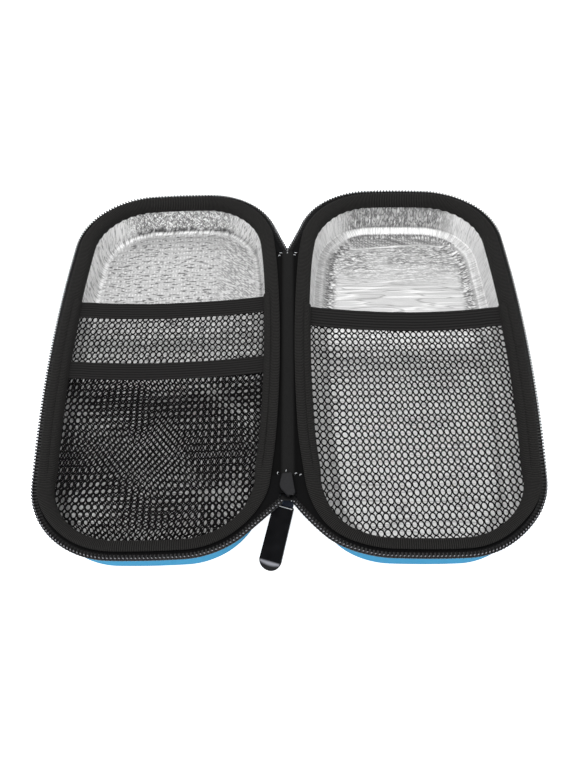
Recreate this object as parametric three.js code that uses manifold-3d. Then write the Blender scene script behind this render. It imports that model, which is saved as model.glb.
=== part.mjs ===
// Insulin cooling case: a zipped hard case of two moulded halves, lying open on its two backs.
// Millimetres, +Z up. The origin is on the table, under the middle of the spine.
// The right half is +X, the left half is -X, and the zip slider is at the -Y end of the spine.
import * as THREE from 'three';
import { mergeVertices } from 'three/addons/utils/BufferGeometryUtils.js';
import Module from 'manifold-3d';

const wasm = await Module();
wasm.setup();

// Gap kept between two pieces that touch
const clearance = 0.3;

// Edge of one half seen from above, at the tips of the zip teeth
const halfWidth = 110;
const halfLength = 215.6;
const sideBowRadius = 850;
const endBowRadius = 350;
const cornerRadius = 39;
const spineGap = 3.6;

// Depth of each half, from the crown of its rim binding down to its back
const rightDepth = 27;
const leftDepth = 22.4;

// Moulded outer shell
const shellWall = 2.2;
const shellSetBack = 0.5;
const wallDraftDeg = 14;
const rightBackRadius = 9;
const leftBackRadius = 8;

// Rim binding: a crowned woven band with a lip that turns down into the cavity
const bindingSetBack = 0.2;
const bindingWidth = 6.8;
const bindingThickness = 1.4;
const lipDrop = 4.4;
const lipThickness = 0.5;
const lipLean = 0.3;
const bindingCrownShares = [[-0.015, 0.4], [0.1, 0.86], [0.28, 1], [0.48, 0.78]];
const shoulderShare = 0.64;
const shoulderDrop = 1.1;
const lipRootDrop = 2.2;
const lipRootSetBack = 0.4;

// Zip: tape, rows of teeth and the end that stays joined
const tapeThickness = 0.5;
const tapeTuck = 4.2;
const toothLength = 2.4;
const toothThickness = 1.8;
const zipFarSetBack = 45;
const zipNearSetBack = 27;
const zipHalfSlit = 0.2;
const chainStartSetBack = 2.4;
const farChainStartSetBack = 0.5;

// Foil liner and the insulation foam behind it
const foilThickness = 0.4;
const foilSetBack = 0.5;
const foilRimDrop = 0.1;
const rightLiner = {
  floorPadding: 4,
  wallLeanShare: 0.183,
  bevelWidth: 3.6,
  bevelDrop: 2,
  stepWidth: 1.2,
  stepDrop: 2.2,
  floorDrop: 0.2,
};
const leftLiner = {
  floorPadding: 2.8,
  wallLeanShare: 0.18,
  bevelWidth: 1.2,
  bevelDrop: 1.1,
  stepWidth: 1.4,
  stepDrop: 0.5,
  floorDrop: 0.2,
};

// Pockets: net panels, the hem sewn round them and the elastic across each mouth
const hemThickness = 0.5;
const netThickness = 0.5;
const netPitchAcross = 11;
const netPitchAlong = 12.5;
const netStrand = 1.1;
const netBorder = 2.6;
const elasticWidth = 10;
const elasticThickness = 1;
const rightMouth = { reach: 135.6, sag: 3.7 };
const leftUpperMouth = { reach: 142.8, sag: 2.7 };
const leftLowerMouth = { reach: 105.6, sag: 2.6 };

// Spine: a strip inside and a strip outside, sewn together at both ends
const spineFarSetBack = 1.4;
const spineThickness = 0.5;
const spineCrownRise = 0.9;
const spineCrownHalfWidth = 1.8;
const spineGrooveHalfWidth = 3.2;
const spineGrooveDrop = 0.2;
const threadThickness = 0.35;
const threadSetBack = 1.2;
const threadLift = 0.05;
const threadHalfLength = 4.2;

// Zip slider, with the bridge for the pull on its outer plate
const sliderLength = 11.2;
const sliderPlate = 0.9;
const sliderFlange = 1;
const sliderTailHalfWidth = 2.4;
const sliderSlot = 1.1;
const sliderPostLength = 2.6;
const sliderPostHalfWidth = 1;
const sliderPostSetBack = 0.7;
const bridgeHalfWidth = 1;
const bridgeLeg = 1.1;
const bridgeOpening = 3.2;
const bridgeHeadroom = 1.9;
const bridgeBeam = 0.9;
const bridgeSetBack = 1.2;

// Pull: a cast link round the bridge and a moulded tab
const linkThickness = 1.2;
const linkHalfWidth = 3.4;
const linkArm = 1;
const linkWindow = 4;
const linkHead = 3.4;
const tabThickness = 2.2;
const tabHeadHalfWidth = 4.4;
const tabTipHalfWidth = 4.75;
const pullReach = 33.2;
const pullYawDeg = 18;

// Heights in a half, measured from the crown of its binding, and insets from its edge
const tapeTop = -(bindingThickness + clearance);
const tapeBottom = tapeTop - tapeThickness;
const chainMid = (tapeTop + tapeBottom) / 2;
const shellTop = tapeBottom - clearance;
const tapeInset = toothLength + clearance;
const bindingInset = tapeInset + bindingSetBack;
const shellInset = bindingInset + shellSetBack;
const openingInset = bindingInset + bindingWidth;
const lipInset = openingInset - lipThickness - lipLean;
const foilInset = lipInset - foilSetBack;
const hemInset = openingInset + clearance + hemThickness;
const netInset = openingInset - clearance / 2;
const draft = Math.tan(THREE.MathUtils.degToRad(wallDraftDeg));
const zipFarY = halfLength / 2 - zipFarSetBack;
const zipNearY = zipNearSetBack - halfLength / 2;
const spineFarY = zipFarY - spineFarSetBack;
const spineNearY = zipNearY + clearance + sliderLength + clearance;
const centreX = halfWidth / 2 + spineGap / 2;
const hingeHeight = rightDepth + clearance;

// The shallower left half leans about the hinge until the outer edge of its back meets the table
const leftContactX = centreX + halfWidth / 2 - shellInset - (leftDepth - leftBackRadius + shellTop) * draft
  - leftBackRadius;
const leftContactDrop = leftDepth + clearance;
const restLean = Math.asin(hingeHeight / Math.hypot(leftContactX, leftContactDrop))
  - Math.atan2(leftContactDrop, leftContactX);

// Centres of the three arcs that make a quarter of the edge, tangent to each other
const sideCentre = new THREE.Vector2(halfWidth / 2 - sideBowRadius, 0);
const endCentre = new THREE.Vector2(0, halfLength / 2 - endBowRadius);
const cornerCentre = meetingPoint(sideCentre, sideBowRadius - cornerRadius, endCentre, endBowRadius - cornerRadius);
const sideEndAngle = cornerCentre.clone().sub(sideCentre).angle();
const cornerEndAngle = cornerCentre.clone().sub(endCentre).angle();

function meetingPoint(a, radiusA, b, radiusB) {
  const between = b.clone().sub(a);
  const distance = between.length();
  const along = (radiusA ** 2 - radiusB ** 2 + distance ** 2) / (2 * distance);
  const across = Math.sqrt(radiusA ** 2 - along ** 2);
  between.normalize();
  const foot = a.clone().addScaledVector(between, along);
  return foot.add(new THREE.Vector2(-between.y, between.x).multiplyScalar(across));
}

// The point of the edge where its outward normal has this angle
function edgeAt(angle) {
  const normal = new THREE.Vector2(Math.cos(angle), Math.sin(angle));
  const folded = new THREE.Vector2(Math.abs(normal.x), Math.abs(normal.y)).angle();
  let centre = cornerCentre;
  let radius = cornerRadius;
  if (folded < sideEndAngle) {
    centre = sideCentre;
    radius = sideBowRadius;
  } else if (folded > cornerEndAngle) {
    centre = endCentre;
    radius = endBowRadius;
  }
  const point = new THREE.Vector2(centre.x * Math.sign(normal.x), centre.y * Math.sign(normal.y));
  return { point: point.addScaledVector(normal, radius), normal };
}

// Normal angles from start down to end, with the arcs' own ends kept
function edgeAngles(start, end) {
  const quarter = [];
  const cornerSteps = 5;
  for (let step = 0; step <= cornerSteps; step += 1) {
    quarter.push(THREE.MathUtils.lerp(sideEndAngle, cornerEndAngle, step / cornerSteps));
  }
  const sideMid = sideEndAngle / 2;
  const angles = [start, end];
  for (let turn = -2; turn <= 2; turn += 1) {
    for (const angle of [0, sideMid, ...quarter]) {
      angles.push(turn * Math.PI + angle, turn * Math.PI - angle);
    }
    angles.push(turn * Math.PI + Math.PI / 2);
  }
  const within = angles.filter((angle) => angle <= start && angle >= end);
  within.sort((a, b) => b - a);
  const shortestTurn = 1e-3;
  return within.filter((angle, index) => index === 0 || within[index - 1] - angle > shortestTurn);
}

function wholeEdge() {
  return edgeAngles(2 * Math.PI, 0).slice(1).map(edgeAt);
}

function insetPoint(station, inset, level) {
  const flat = station.point.clone().addScaledVector(station.normal, -inset);
  return new THREE.Vector3(flat.x, flat.y, level);
}

// How far inside the edge a point lies
function insetOf(x, y) {
  const point = new THREE.Vector2(Math.abs(x), Math.abs(y));
  const side = sideBowRadius - point.distanceTo(sideCentre);
  const end = endBowRadius - point.distanceTo(endCentre);
  const fromCorner = point.clone().sub(cornerCentre);
  const inCorner = fromCorner.x > 0 && fromCorner.y > 0;
  return inCorner ? cornerRadius - fromCorner.length() : Math.min(side, end);
}

// Half the width of the opening at this Y, at an inset from the edge
function halfWidthAt(y, inset) {
  let low = 0;
  let high = halfWidth / 2;
  const halvings = 40;
  for (let step = 0; step < halvings; step += 1) {
    const middle = (low + high) / 2;
    if (insetOf(middle, y) > inset) {
      low = middle;
    } else {
      high = middle;
    }
  }
  return low;
}

// A closed surface through rows of points; each row is a loop
function loft(rows, closing) {
  const count = rows[0].length;
  const points = rows.flat();
  const index = [];
  const rowCount = rows.length;
  const spans = closing === 'ring' ? rowCount : rowCount - 1;
  for (let row = 0; row < spans; row += 1) {
    const next = (row + 1) % rowCount;
    for (let column = 0; column < count; column += 1) {
      const beside = (column + 1) % count;
      const a = row * count + column;
      const b = row * count + beside;
      const c = next * count + beside;
      const d = next * count + column;
      index.push(a, b, c, a, c, d);
    }
  }
  const firstOfLast = (rowCount - 1) * count;
  if (closing === 'fan') {
    const first = points.push(middleOf(rows[0])) - 1;
    const last = points.push(middleOf(rows[rowCount - 1])) - 1;
    for (let column = 0; column < count; column += 1) {
      const beside = (column + 1) % count;
      index.push(first, beside, column, last, firstOfLast + column, firstOfLast + beside);
    }
  }
  if (closing === 'ladder') {
    for (let rung = 0; rung < count / 2 - 1; rung += 1) {
      const a = rung;
      const b = rung + 1;
      const c = count - 2 - rung;
      const d = count - 1 - rung;
      index.push(a, c, b, a, d, c);
      index.push(firstOfLast + a, firstOfLast + b, firstOfLast + c);
      index.push(firstOfLast + a, firstOfLast + c, firstOfLast + d);
    }
  }
  const geometry = new THREE.BufferGeometry().setFromPoints(points);
  geometry.setIndex(index);
  return facingOut(geometry);
}

function middleOf(points) {
  const middle = new THREE.Vector3();
  points.forEach((point) => middle.add(point));
  return middle.divideScalar(points.length);
}

function facingOut(geometry) {
  const position = geometry.getAttribute('position');
  const index = geometry.getIndex();
  const [a, b, c] = [new THREE.Vector3(), new THREE.Vector3(), new THREE.Vector3()];
  let volume = 0;
  for (let i = 0; i < index.count; i += 3) {
    a.fromBufferAttribute(position, index.getX(i));
    b.fromBufferAttribute(position, index.getX(i + 1));
    c.fromBufferAttribute(position, index.getX(i + 2));
    volume += a.dot(b.cross(c));
  }
  if (volume < 0) {
    turnFaces(index);
  }
  return geometry;
}

function turnFaces(index) {
  for (let i = 0; i < index.count; i += 3) {
    const kept = index.getX(i);
    index.setX(i, index.getX(i + 1));
    index.setX(i + 1, kept);
  }
}

function mirrored(geometry) {
  const copy = geometry.clone();
  copy.scale(-1, 1, 1);
  turnFaces(copy.getIndex());
  return copy;
}

function solid(geometry) {
  const bare = geometry.clone();
  bare.deleteAttribute('normal');
  bare.deleteAttribute('uv');
  const merged = mergeVertices(bare);
  return new wasm.Manifold(new wasm.Mesh({
    numProp: 3,
    vertProperties: merged.getAttribute('position').array,
    triVerts: merged.getIndex().array,
  }));
}

function geometryOf(manifold) {
  const mesh = manifold.getMesh();
  const geometry = new THREE.BufferGeometry();
  geometry.setAttribute('position', new THREE.BufferAttribute(mesh.vertProperties, mesh.numProp));
  geometry.setIndex(new THREE.BufferAttribute(mesh.triVerts, 1));
  return geometry;
}

function box(xLow, xHigh, yLow, yHigh, zLow, zHigh) {
  const geometry = new THREE.BoxGeometry(xHigh - xLow, yHigh - yLow, zHigh - zLow);
  return geometry.translate((xLow + xHigh) / 2, (yLow + yHigh) / 2, (zLow + zHigh) / 2);
}

// A ring that follows the whole edge, from a closed section of [inset, level]
function edgeRing(section) {
  const rows = wholeEdge().map((station) => section.map(([inset, level]) => insetPoint(station, inset, level)));
  return loft(rows, 'ring');
}

// A tray, from a profile of [inset, level] that runs from one side of its floor to the other
function tray(profile) {
  const edge = wholeEdge();
  const rows = profile.map(([inset, level]) => edge.map((station) => insetPoint(station, inset, level)));
  return loft(rows, 'fan');
}

// Face of a shell wall at this distance inside its outer face, from rim to floor
function shellFace(depth, backRadius, inward, top, turnSteps) {
  const wallEnd = depth - backRadius;
  const lean = inward / Math.cos(Math.atan(draft));
  const wallInset = shellInset + (wallEnd + shellTop) * draft;
  const topInset = shellInset + (-top + shellTop) * draft + lean;
  const centreInset = wallInset + backRadius;
  const radius = backRadius - inward;
  const face = [[topInset, top]];
  for (let step = 0; step <= turnSteps; step += 1) {
    const start = Math.atan(draft) / 2;
    const turn = THREE.MathUtils.lerp(start, Math.PI / 2, step / turnSteps);
    face.push([centreInset - radius * Math.cos(turn), -wallEnd - radius * Math.sin(turn)]);
  }
  return face;
}

function shell(depth, backRadius) {
  const outsideSteps = 4;
  const insideSteps = 3;
  const outside = shellFace(depth, backRadius, 0, shellTop, outsideSteps);
  const inside = shellFace(depth, backRadius, shellWall, shellTop, insideSteps);
  return tray([...inside.reverse(), ...outside]);
}

// Face of the foil liner, moved outwards by the given distance
function linerFace(depth, liner, outward, top) {
  const across = (inset) => inset - outward;
  const floorLevel = shellWall + liner.floorPadding - depth;
  const stepLevel = floorLevel + liner.floorDrop;
  const bevelLevel = stepLevel + liner.stepDrop;
  const wallLevel = bevelLevel + liner.bevelDrop;
  const wallInset = foilInset - wallLevel * liner.wallLeanShare;
  const bevelInset = wallInset + liner.bevelWidth;
  const stepInset = bevelInset + liner.stepWidth;
  return [
    [across(foilInset), top],
    [across(wallInset), wallLevel - outward / 2],
    [across(bevelInset), bevelLevel - outward],
    [across(stepInset), stepLevel - outward],
    [across(stepInset) + liner.stepWidth, floorLevel - outward],
  ];
}

function foilLiner(depth, liner) {
  const top = shellTop - foilRimDrop;
  const cavity = linerFace(depth, liner, 0, top);
  const back = linerFace(depth, liner, foilThickness, top);
  return tray([...cavity.reverse(), ...back]);
}

function insulation(depth, backRadius, liner) {
  const inside = linerFace(depth, liner, foilThickness + clearance, shellTop);
  const backSteps = 2;
  const outside = shellFace(depth, backRadius, shellWall + clearance, shellTop, backSteps);
  return tray([...inside.reverse(), ...outside]);
}

function rimBinding() {
  const top = bindingCrownShares.map(([along, up]) => [
    bindingInset + along * bindingWidth,
    -bindingThickness * (1 - up),
  ]);
  const shoulderInset = bindingInset + shoulderShare * bindingWidth;
  return edgeRing([
    [bindingInset, -bindingThickness],
    ...top,
    [shoulderInset, -shoulderDrop],
    [openingInset - lipRootSetBack, -lipRootDrop],
    [openingInset, -lipDrop],
    [openingInset - lipThickness, -lipDrop],
    [lipInset, -lipRootDrop - lipThickness / 2],
    [shoulderInset - lipThickness, -bindingThickness],
  ]);
}

// The two ends of the zip on a half, where its teeth leave the spine, and where they meet the edge
function zipEnd(y) {
  const apex = new THREE.Vector2(zipHalfSlit - centreX, y);
  const way = Math.sign(y);
  const centre = new THREE.Vector2(-cornerCentre.x, way * cornerCentre.y);
  const reach = apex.clone().sub(centre);
  const swing = Math.acos(cornerRadius / reach.length());
  const angle = reach.angle() - way * swing;
  return { apex, angle, touch: edgeAt(angle) };
}

const farEnd = zipEnd(zipFarY);
const nearEnd = zipEnd(zipNearY);

// Stations of the zip from its far end round the outside to its near end
function zipStations(farSetBack, nearSetBack) {
  const start = (end, setBack) => {
    const run = end.touch.point.clone().sub(end.apex).normalize();
    return { point: end.apex.clone().addScaledVector(run, setBack), normal: end.touch.normal };
  };
  const round = edgeAngles(farEnd.angle, nearEnd.angle - 2 * Math.PI).map(edgeAt);
  return [start(farEnd, farSetBack), ...round, start(nearEnd, nearSetBack)];
}

function zipTeeth() {
  const high = chainMid + toothThickness / 2;
  const low = chainMid - toothThickness / 2;
  const section = [[0, high], [toothLength, high], [toothLength, low], [0, low]];
  const rows = zipStations(farChainStartSetBack, chainStartSetBack)
    .map((station) => section.map(([inset, level]) => insetPoint(station, inset, level)));
  return loft(rows, 'ladder');
}

// The tape lies from the teeth to under the binding; at both ends it fills the V beside the spine
function zipTape() {
  const under = tapeInset + tapeTuck;
  const sideAngle = (y) => Math.PI - Math.asin(y / (sideBowRadius - under));
  const strip = (outer, inner) => [
    new THREE.Vector3(outer.x, outer.y, tapeTop),
    new THREE.Vector3(inner.x, inner.y, tapeTop),
    new THREE.Vector3(inner.x, inner.y, tapeBottom),
    new THREE.Vector3(outer.x, outer.y, tapeBottom),
  ];
  const vee = (end, setBack) => {
    const rows = [];
    const steps = 3;
    for (let step = 0; step < steps; step += 1) {
      const share = step / steps;
      const angle = THREE.MathUtils.lerp(sideAngle(end.apex.y), end.angle, share);
      const inner = insetPoint(edgeAt(angle), under, 0);
      const from = end.apex.clone().addScaledVector(end.touch.normal, -tapeInset);
      const run = end.touch.point.clone().sub(end.apex);
      const shortest = setBack / run.length();
      const outer = from.addScaledVector(run, Math.max(share, shortest));
      rows.push(strip(outer, inner));
    }
    return rows;
  };
  const round = edgeAngles(farEnd.angle, nearEnd.angle - 2 * Math.PI).map(edgeAt);
  const rows = [
    ...vee(farEnd, farChainStartSetBack),
    ...round.map((station) => strip(insetPoint(station, tapeInset, 0), insetPoint(station, under, 0))),
    ...vee(nearEnd, chainStartSetBack).reverse(),
  ];
  const besideSlider = new THREE.Vector2(sliderHalfWidth + clearance - centreX, spineNearY - clearance);
  rows.push(strip(besideSlider, insetPoint(edgeAt(sideAngle(spineNearY - clearance)), under, 0)));
  return loft(rows, 'ladder');
}

// Curve of a pocket's mouth: furthest from the near end at the sides, sagging in the middle
function mouthSideY(mouth) {
  return mouth.reach - halfLength / 2;
}

function mouthY(mouth, x, across) {
  return mouthSideY(mouth) - mouth.sag * (1 - (x / across) ** 2);
}

function elastic(mouth, thickness) {
  const inset = hemInset + clearance;
  const reach = halfWidthAt(mouthSideY(mouth), inset);
  const low = -lipDrop;
  const rows = [];
  const steps = 12;
  for (let step = 0; step <= steps; step += 1) {
    const x = THREE.MathUtils.lerp(-reach, reach, step / steps);
    const top = mouthY(mouth, x, reach);
    rows.push([
      new THREE.Vector3(x, top, low + elasticThickness),
      new THREE.Vector3(x, top - elasticWidth, low + elasticThickness),
      new THREE.Vector3(x, top - elasticWidth, low + elasticThickness - thickness),
      new THREE.Vector3(x, top, low + elasticThickness - thickness),
    ]);
  }
  return loft(rows, 'ladder');
}

// A net panel from its mouth to the near end, with diamond gaps
function pocketNet(mouth) {
  const half = halfWidthAt(mouthSideY(mouth), netInset);
  const border = [];
  const mouthSteps = 8;
  const lap = elasticWidth / 2;
  for (let step = 0; step <= mouthSteps; step += 1) {
    const x = THREE.MathUtils.lerp(-half, half, step / mouthSteps);
    border.push(new THREE.Vector2(x, mouthY(mouth, x, half) - lap));
  }
  const sideAngle = Math.asin((mouthSideY(mouth) - lap) / sideBowRadius);
  const around = edgeAngles(sideAngle, -Math.PI - sideAngle).slice(1, -1);
  around.forEach((angle) => {
    const point = insetPoint(edgeAt(angle), netInset, 0);
    border.push(new THREE.Vector2(point.x, point.y));
  });
  const panel = new THREE.Shape(border);
  const columns = Math.ceil(halfWidth / netPitchAcross);
  const rowCount = Math.ceil(halfLength / netPitchAlong);
  for (let row = -rowCount; row <= rowCount; row += 1) {
    for (let column = -columns; column <= columns; column += 1) {
      const stagger = (row % 2) / 2;
      const gap = diamond((column + stagger) * netPitchAcross, row * netPitchAlong / 2);
      const clear = gap.every(({ x, y }) => insetOf(x, y) > netInset + netBorder
        && y < mouthY(mouth, x, half) - elasticWidth - netBorder / 2);
      if (clear) {
        panel.holes.push(new THREE.Path(gap));
      }
    }
  }
  return new THREE.ExtrudeGeometry(panel, { depth: netThickness, bevelEnabled: false });
}

function diamond(x, y) {
  const across = (netPitchAcross - netStrand) / 2;
  const along = (netPitchAlong - netStrand) / 2;
  return [
    new THREE.Vector2(x - across, y),
    new THREE.Vector2(x, y - along),
    new THREE.Vector2(x + across, y),
    new THREE.Vector2(x, y + along),
  ];
}

// The hem laps the inner slope of the binding, from the mouth round the near end
function pocketHem(mouth) {
  const inner = openingInset + clearance;
  const shoulderInset = bindingInset + shoulderShare * bindingWidth;
  const hemRoot = openingInset - lipRootSetBack;
  const section = [
    [shoulderInset, clearance - shoulderDrop],
    [hemRoot + clearance / 2, clearance - lipRootDrop],
    [inner, -lipDrop],
    [inner + hemThickness, -lipDrop],
    [hemRoot + clearance / 2 + hemThickness, clearance - lipRootDrop + hemThickness / 2],
    [shoulderInset, clearance - shoulderDrop + hemThickness],
  ];
  const sideAngle = Math.asin(mouthSideY(mouth) / sideBowRadius);
  const rows = edgeAngles(sideAngle, -Math.PI - sideAngle)
    .map((angle) => section.map(([inset, level]) => insetPoint(edgeAt(angle), inset, level)));
  return loft(rows, 'ladder');
}

// Half the distance between the two halves' edges at this Y, plus an inset
function spineHalfWidth(y, inset) {
  const bow = sideBowRadius - Math.sqrt(sideBowRadius ** 2 - y ** 2);
  return spineGap / 2 + bow + inset;
}

// A point of the spine, leaning with the half that it is sewn to
function spinePoint(x, y, level) {
  const lean = restLean * (1 - Math.sign(x)) / 2;
  const point = new THREE.Vector3(x, y, level - clearance);
  return point.applyAxisAngle(new THREE.Vector3(0, 1, 0), -lean);
}

function spineRows(section) {
  const rows = [];
  const steps = 8;
  for (let step = 0; step <= steps; step += 1) {
    const y = THREE.MathUtils.lerp(spineNearY, spineFarY, step / steps);
    rows.push(section(y).map(([x, level]) => spinePoint(x, y, level)));
  }
  return rows;
}

function spineInnerTop(y) {
  const edge = spineHalfWidth(y, tapeInset + tapeTuck);
  return [
    [-edge, tapeTop],
    [-spineGrooveHalfWidth, tapeTop - spineGrooveDrop],
    [-spineCrownHalfWidth, tapeTop + spineCrownRise - spineGrooveDrop],
    [0, tapeTop + spineCrownRise],
    [spineCrownHalfWidth, tapeTop + spineCrownRise - spineGrooveDrop],
    [spineGrooveHalfWidth, tapeTop - spineGrooveDrop],
    [edge, tapeTop],
  ];
}

function lowered(line, drop) {
  return line.map(([x, level]) => [x, level - drop]).reverse();
}

function spineInner() {
  return loft(spineRows((y) => [...spineInnerTop(y), ...lowered(spineInnerTop(y), spineThickness)]), 'ladder');
}

function spineOuter() {
  const level = tapeBottom - spineGrooveDrop - clearance;
  const line = (y) => {
    const edge = spineHalfWidth(y, shellInset - clearance);
    return [[-edge, level], [-spineGrooveHalfWidth, level], [spineGrooveHalfWidth, level], [edge, level]];
  };
  return loft(spineRows((y) => [...line(y), ...lowered(line(y), spineThickness)]), 'ladder');
}

// The thread of the seam at one end of the spine, lying along the strip's crown
function spineThread(y) {
  const rows = [];
  const places = [-threadHalfLength, -spineGrooveHalfWidth, -spineCrownHalfWidth, 0,
    spineCrownHalfWidth, spineGrooveHalfWidth, threadHalfLength];
  const top = spineInnerTop(y);
  const levelAt = (x) => {
    const right = Math.max(1, top.findIndex(([place]) => place >= x));
    const [x0, level0] = top[right - 1];
    const [x1, level1] = top[right];
    return THREE.MathUtils.mapLinear(x, x0, x1, level0, level1);
  };
  for (const x of places) {
    const low = levelAt(x) + threadLift;
    rows.push([
      spinePoint(x, y - threadThickness / 2, low),
      spinePoint(x, y + threadThickness / 2, low),
      spinePoint(x, y + threadThickness / 2, low + threadThickness),
      spinePoint(x, y - threadThickness / 2, low + threadThickness),
    ]);
  }
  return loft(rows, 'ladder');
}

// The slider and what hangs on it are drawn about the hinge line, at the height of the crown
const sliderHalfWidth = toothLength + zipHalfSlit + clearance + sliderFlange;
const sliderNoseY = zipNearY + clearance;
const sliderTailY = sliderNoseY + sliderLength;
const plateGap = toothThickness / 2 + clearance;

function sliderOutline() {
  const shape = new THREE.Shape();
  const shoulderY = sliderNoseY + sliderHalfWidth;
  shape.moveTo(-sliderTailHalfWidth, sliderTailY);
  shape.lineTo(-sliderHalfWidth, shoulderY);
  shape.lineTo(-sliderHalfWidth, sliderNoseY + sliderFlange);
  shape.quadraticCurveTo(-sliderHalfWidth, sliderNoseY, -sliderHalfWidth / 2, sliderNoseY);
  shape.lineTo(sliderHalfWidth / 2, sliderNoseY);
  shape.quadraticCurveTo(sliderHalfWidth, sliderNoseY, sliderHalfWidth, sliderNoseY + sliderFlange);
  shape.lineTo(sliderHalfWidth, shoulderY);
  shape.lineTo(sliderTailHalfWidth, sliderTailY);
  shape.closePath();
  return shape;
}

function sliderBody() {
  const outline = sliderOutline();
  const curveSegments = 4;
  const plate = (low) => {
    const slab = new THREE.ExtrudeGeometry(outline, { depth: sliderPlate, bevelEnabled: false, curveSegments });
    return solid(slab.translate(0, 0, low));
  };
  const upperLow = chainMid + plateGap;
  const lowerHigh = chainMid - plateGap;
  let body = plate(upperLow).add(plate(lowerHigh - sliderPlate));
  const postY = sliderNoseY + sliderPostSetBack;
  body = body.add(solid(box(-sliderPostHalfWidth, sliderPostHalfWidth, postY, postY + sliderPostLength,
    lowerHigh - sliderPlate / 2, upperLow + sliderPlate / 2)));
  const flangeInner = sliderHalfWidth - sliderFlange;
  const flangeFarY = sliderNoseY + sliderHalfWidth;
  for (const side of [-1, 1]) {
    const low = Math.min(side * flangeInner, side * sliderHalfWidth);
    for (const [from, to] of [[chainMid + sliderSlot / 2, upperLow + sliderPlate / 2],
      [lowerHigh - sliderPlate / 2, chainMid - sliderSlot / 2]]) {
      body = body.add(solid(box(low, low + sliderFlange, sliderNoseY + sliderFlange, flangeFarY, from, to)));
    }
  }
  const bridgeTop = lowerHigh - sliderPlate;
  const bridgeNearY = sliderNoseY + bridgeSetBack;
  const bridgeFarY = bridgeNearY + 2 * bridgeLeg + bridgeOpening;
  const bridgeLow = bridgeTop - bridgeHeadroom - bridgeBeam;
  const arch = solid(box(-bridgeHalfWidth, bridgeHalfWidth, bridgeNearY, bridgeFarY,
    bridgeLow, bridgeTop + sliderPlate / 2));
  const window = solid(box(-sliderHalfWidth, sliderHalfWidth, bridgeNearY + bridgeLeg, bridgeFarY - bridgeLeg,
    bridgeTop - bridgeHeadroom, bridgeTop));
  return geometryOf(body.add(arch.subtract(window)));
}

// Two rows of closed teeth with their tape, between the spine and the slider's post
function joinedZip() {
  const nearY = sliderNoseY + sliderPostSetBack + sliderPostLength + clearance;
  const chainHalf = toothLength + zipHalfSlit;
  const chain = solid(box(-chainHalf, chainHalf, nearY, sliderTailY,
    chainMid - toothThickness / 2, chainMid + toothThickness / 2));
  const tape = solid(box(-sliderHalfWidth, sliderHalfWidth, nearY, sliderTailY, tapeBottom, tapeTop));
  return geometryOf(chain.add(tape));
}

// The pull is drawn flat: its pivot at the origin, its length along +X
function pullLink() {
  const bar = linkThickness / 2;
  const length = linkWindow + linkHead;
  const shape = new THREE.Shape();
  shape.moveTo(-bar, -linkHalfWidth);
  shape.lineTo(length, -linkHalfWidth);
  shape.lineTo(length, linkHalfWidth);
  shape.lineTo(-bar, linkHalfWidth);
  shape.closePath();
  const arm = linkHalfWidth - linkArm;
  const window = new THREE.Path();
  window.moveTo(bar, -arm);
  window.lineTo(bar, arm);
  window.lineTo(linkWindow, arm);
  window.lineTo(linkWindow, -arm);
  window.closePath();
  shape.holes.push(window);
  const plate = new THREE.ExtrudeGeometry(shape, { depth: linkThickness, bevelEnabled: false });
  return plate.translate(0, 0, -linkThickness / 2);
}

// The tab has a round end and takes the link's head in a pocket
function pullTab() {
  const start = linkWindow + linkArm;
  const roundX = pullReach - tabTipHalfWidth;
  const shape = new THREE.Shape();
  shape.moveTo(start, -tabHeadHalfWidth);
  shape.lineTo(roundX, -tabTipHalfWidth);
  shape.absarc(roundX, 0, tabTipHalfWidth, -Math.PI / 2, Math.PI / 2, false);
  shape.lineTo(start, tabHeadHalfWidth);
  shape.closePath();
  const curveSegments = 12;
  const slab = new THREE.ExtrudeGeometry(shape, { depth: tabThickness, bevelEnabled: false, curveSegments });
  const body = solid(slab.translate(0, 0, -tabThickness / 2));
  const pocketHalf = linkHalfWidth + clearance;
  const pocketThickness = linkThickness / 2 + clearance / 2;
  const pocket = solid(box(0, linkWindow + linkHead + clearance, -pocketHalf, pocketHalf,
    -pocketThickness, pocketThickness));
  return geometryOf(body.subtract(pocket));
}

function finish(colour, roughness, metalness) {
  return new THREE.MeshStandardMaterial({ color: colour, roughness, metalness });
}

const blueEva = finish(0x3aa0d6, 0.55, 0);
const paleFoam = finish(0xe9e9e4, 0.9, 0);
const aluminiumFoil = finish(0xd4d5d6, 0.3, 0.9);
const blackWoven = finish(0x2c2a2c, 0.9, 0);
const blackTape = finish(0x171618, 0.9, 0);
const blackTeeth = finish(0x1d1b1c, 0.4, 0);
const blackNet = finish(0x151415, 0.85, 0);
const blackElastic = finish(0x19181a, 0.85, 0);
const greyThread = finish(0x8a8d90, 0.8, 0);
const greyCastMetal = finish(0x3b3b3d, 0.45, 0.7);
const glossBlack = finish(0x0b0b0c, 0.12, 0);

function add(group, name, geometry, material, x = 0, z = 0) {
  const mesh = new THREE.Mesh(geometry, material);
  mesh.name = name;
  mesh.position.set(x, 0, z);
  group.add(mesh);
}

// What both halves have; side is 1 for the right half and -1 for the left
function addHalf(group, label, side, depth, backRadius, liner, hemMouth) {
  const x = side * centreX;
  const facing = (geometry) => (side > 0 ? geometry : mirrored(geometry));
  add(group, `${label}_shell`, shell(depth, backRadius), blueEva, x);
  add(group, `${label}_insulation_foam`, insulation(depth, backRadius, liner), paleFoam, x);
  add(group, `${label}_foil_liner`, foilLiner(depth, liner), aluminiumFoil, x);
  add(group, `${label}_rim_binding`, rimBinding(), blackWoven, x);
  add(group, `${label}_zip_tape`, facing(zipTape()), blackTape, x);
  add(group, `${label}_zip_teeth`, facing(zipTeeth()), blackTeeth, x);
  add(group, `${label}_pocket_hem`, pocketHem(hemMouth), blackWoven, x);
}

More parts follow.
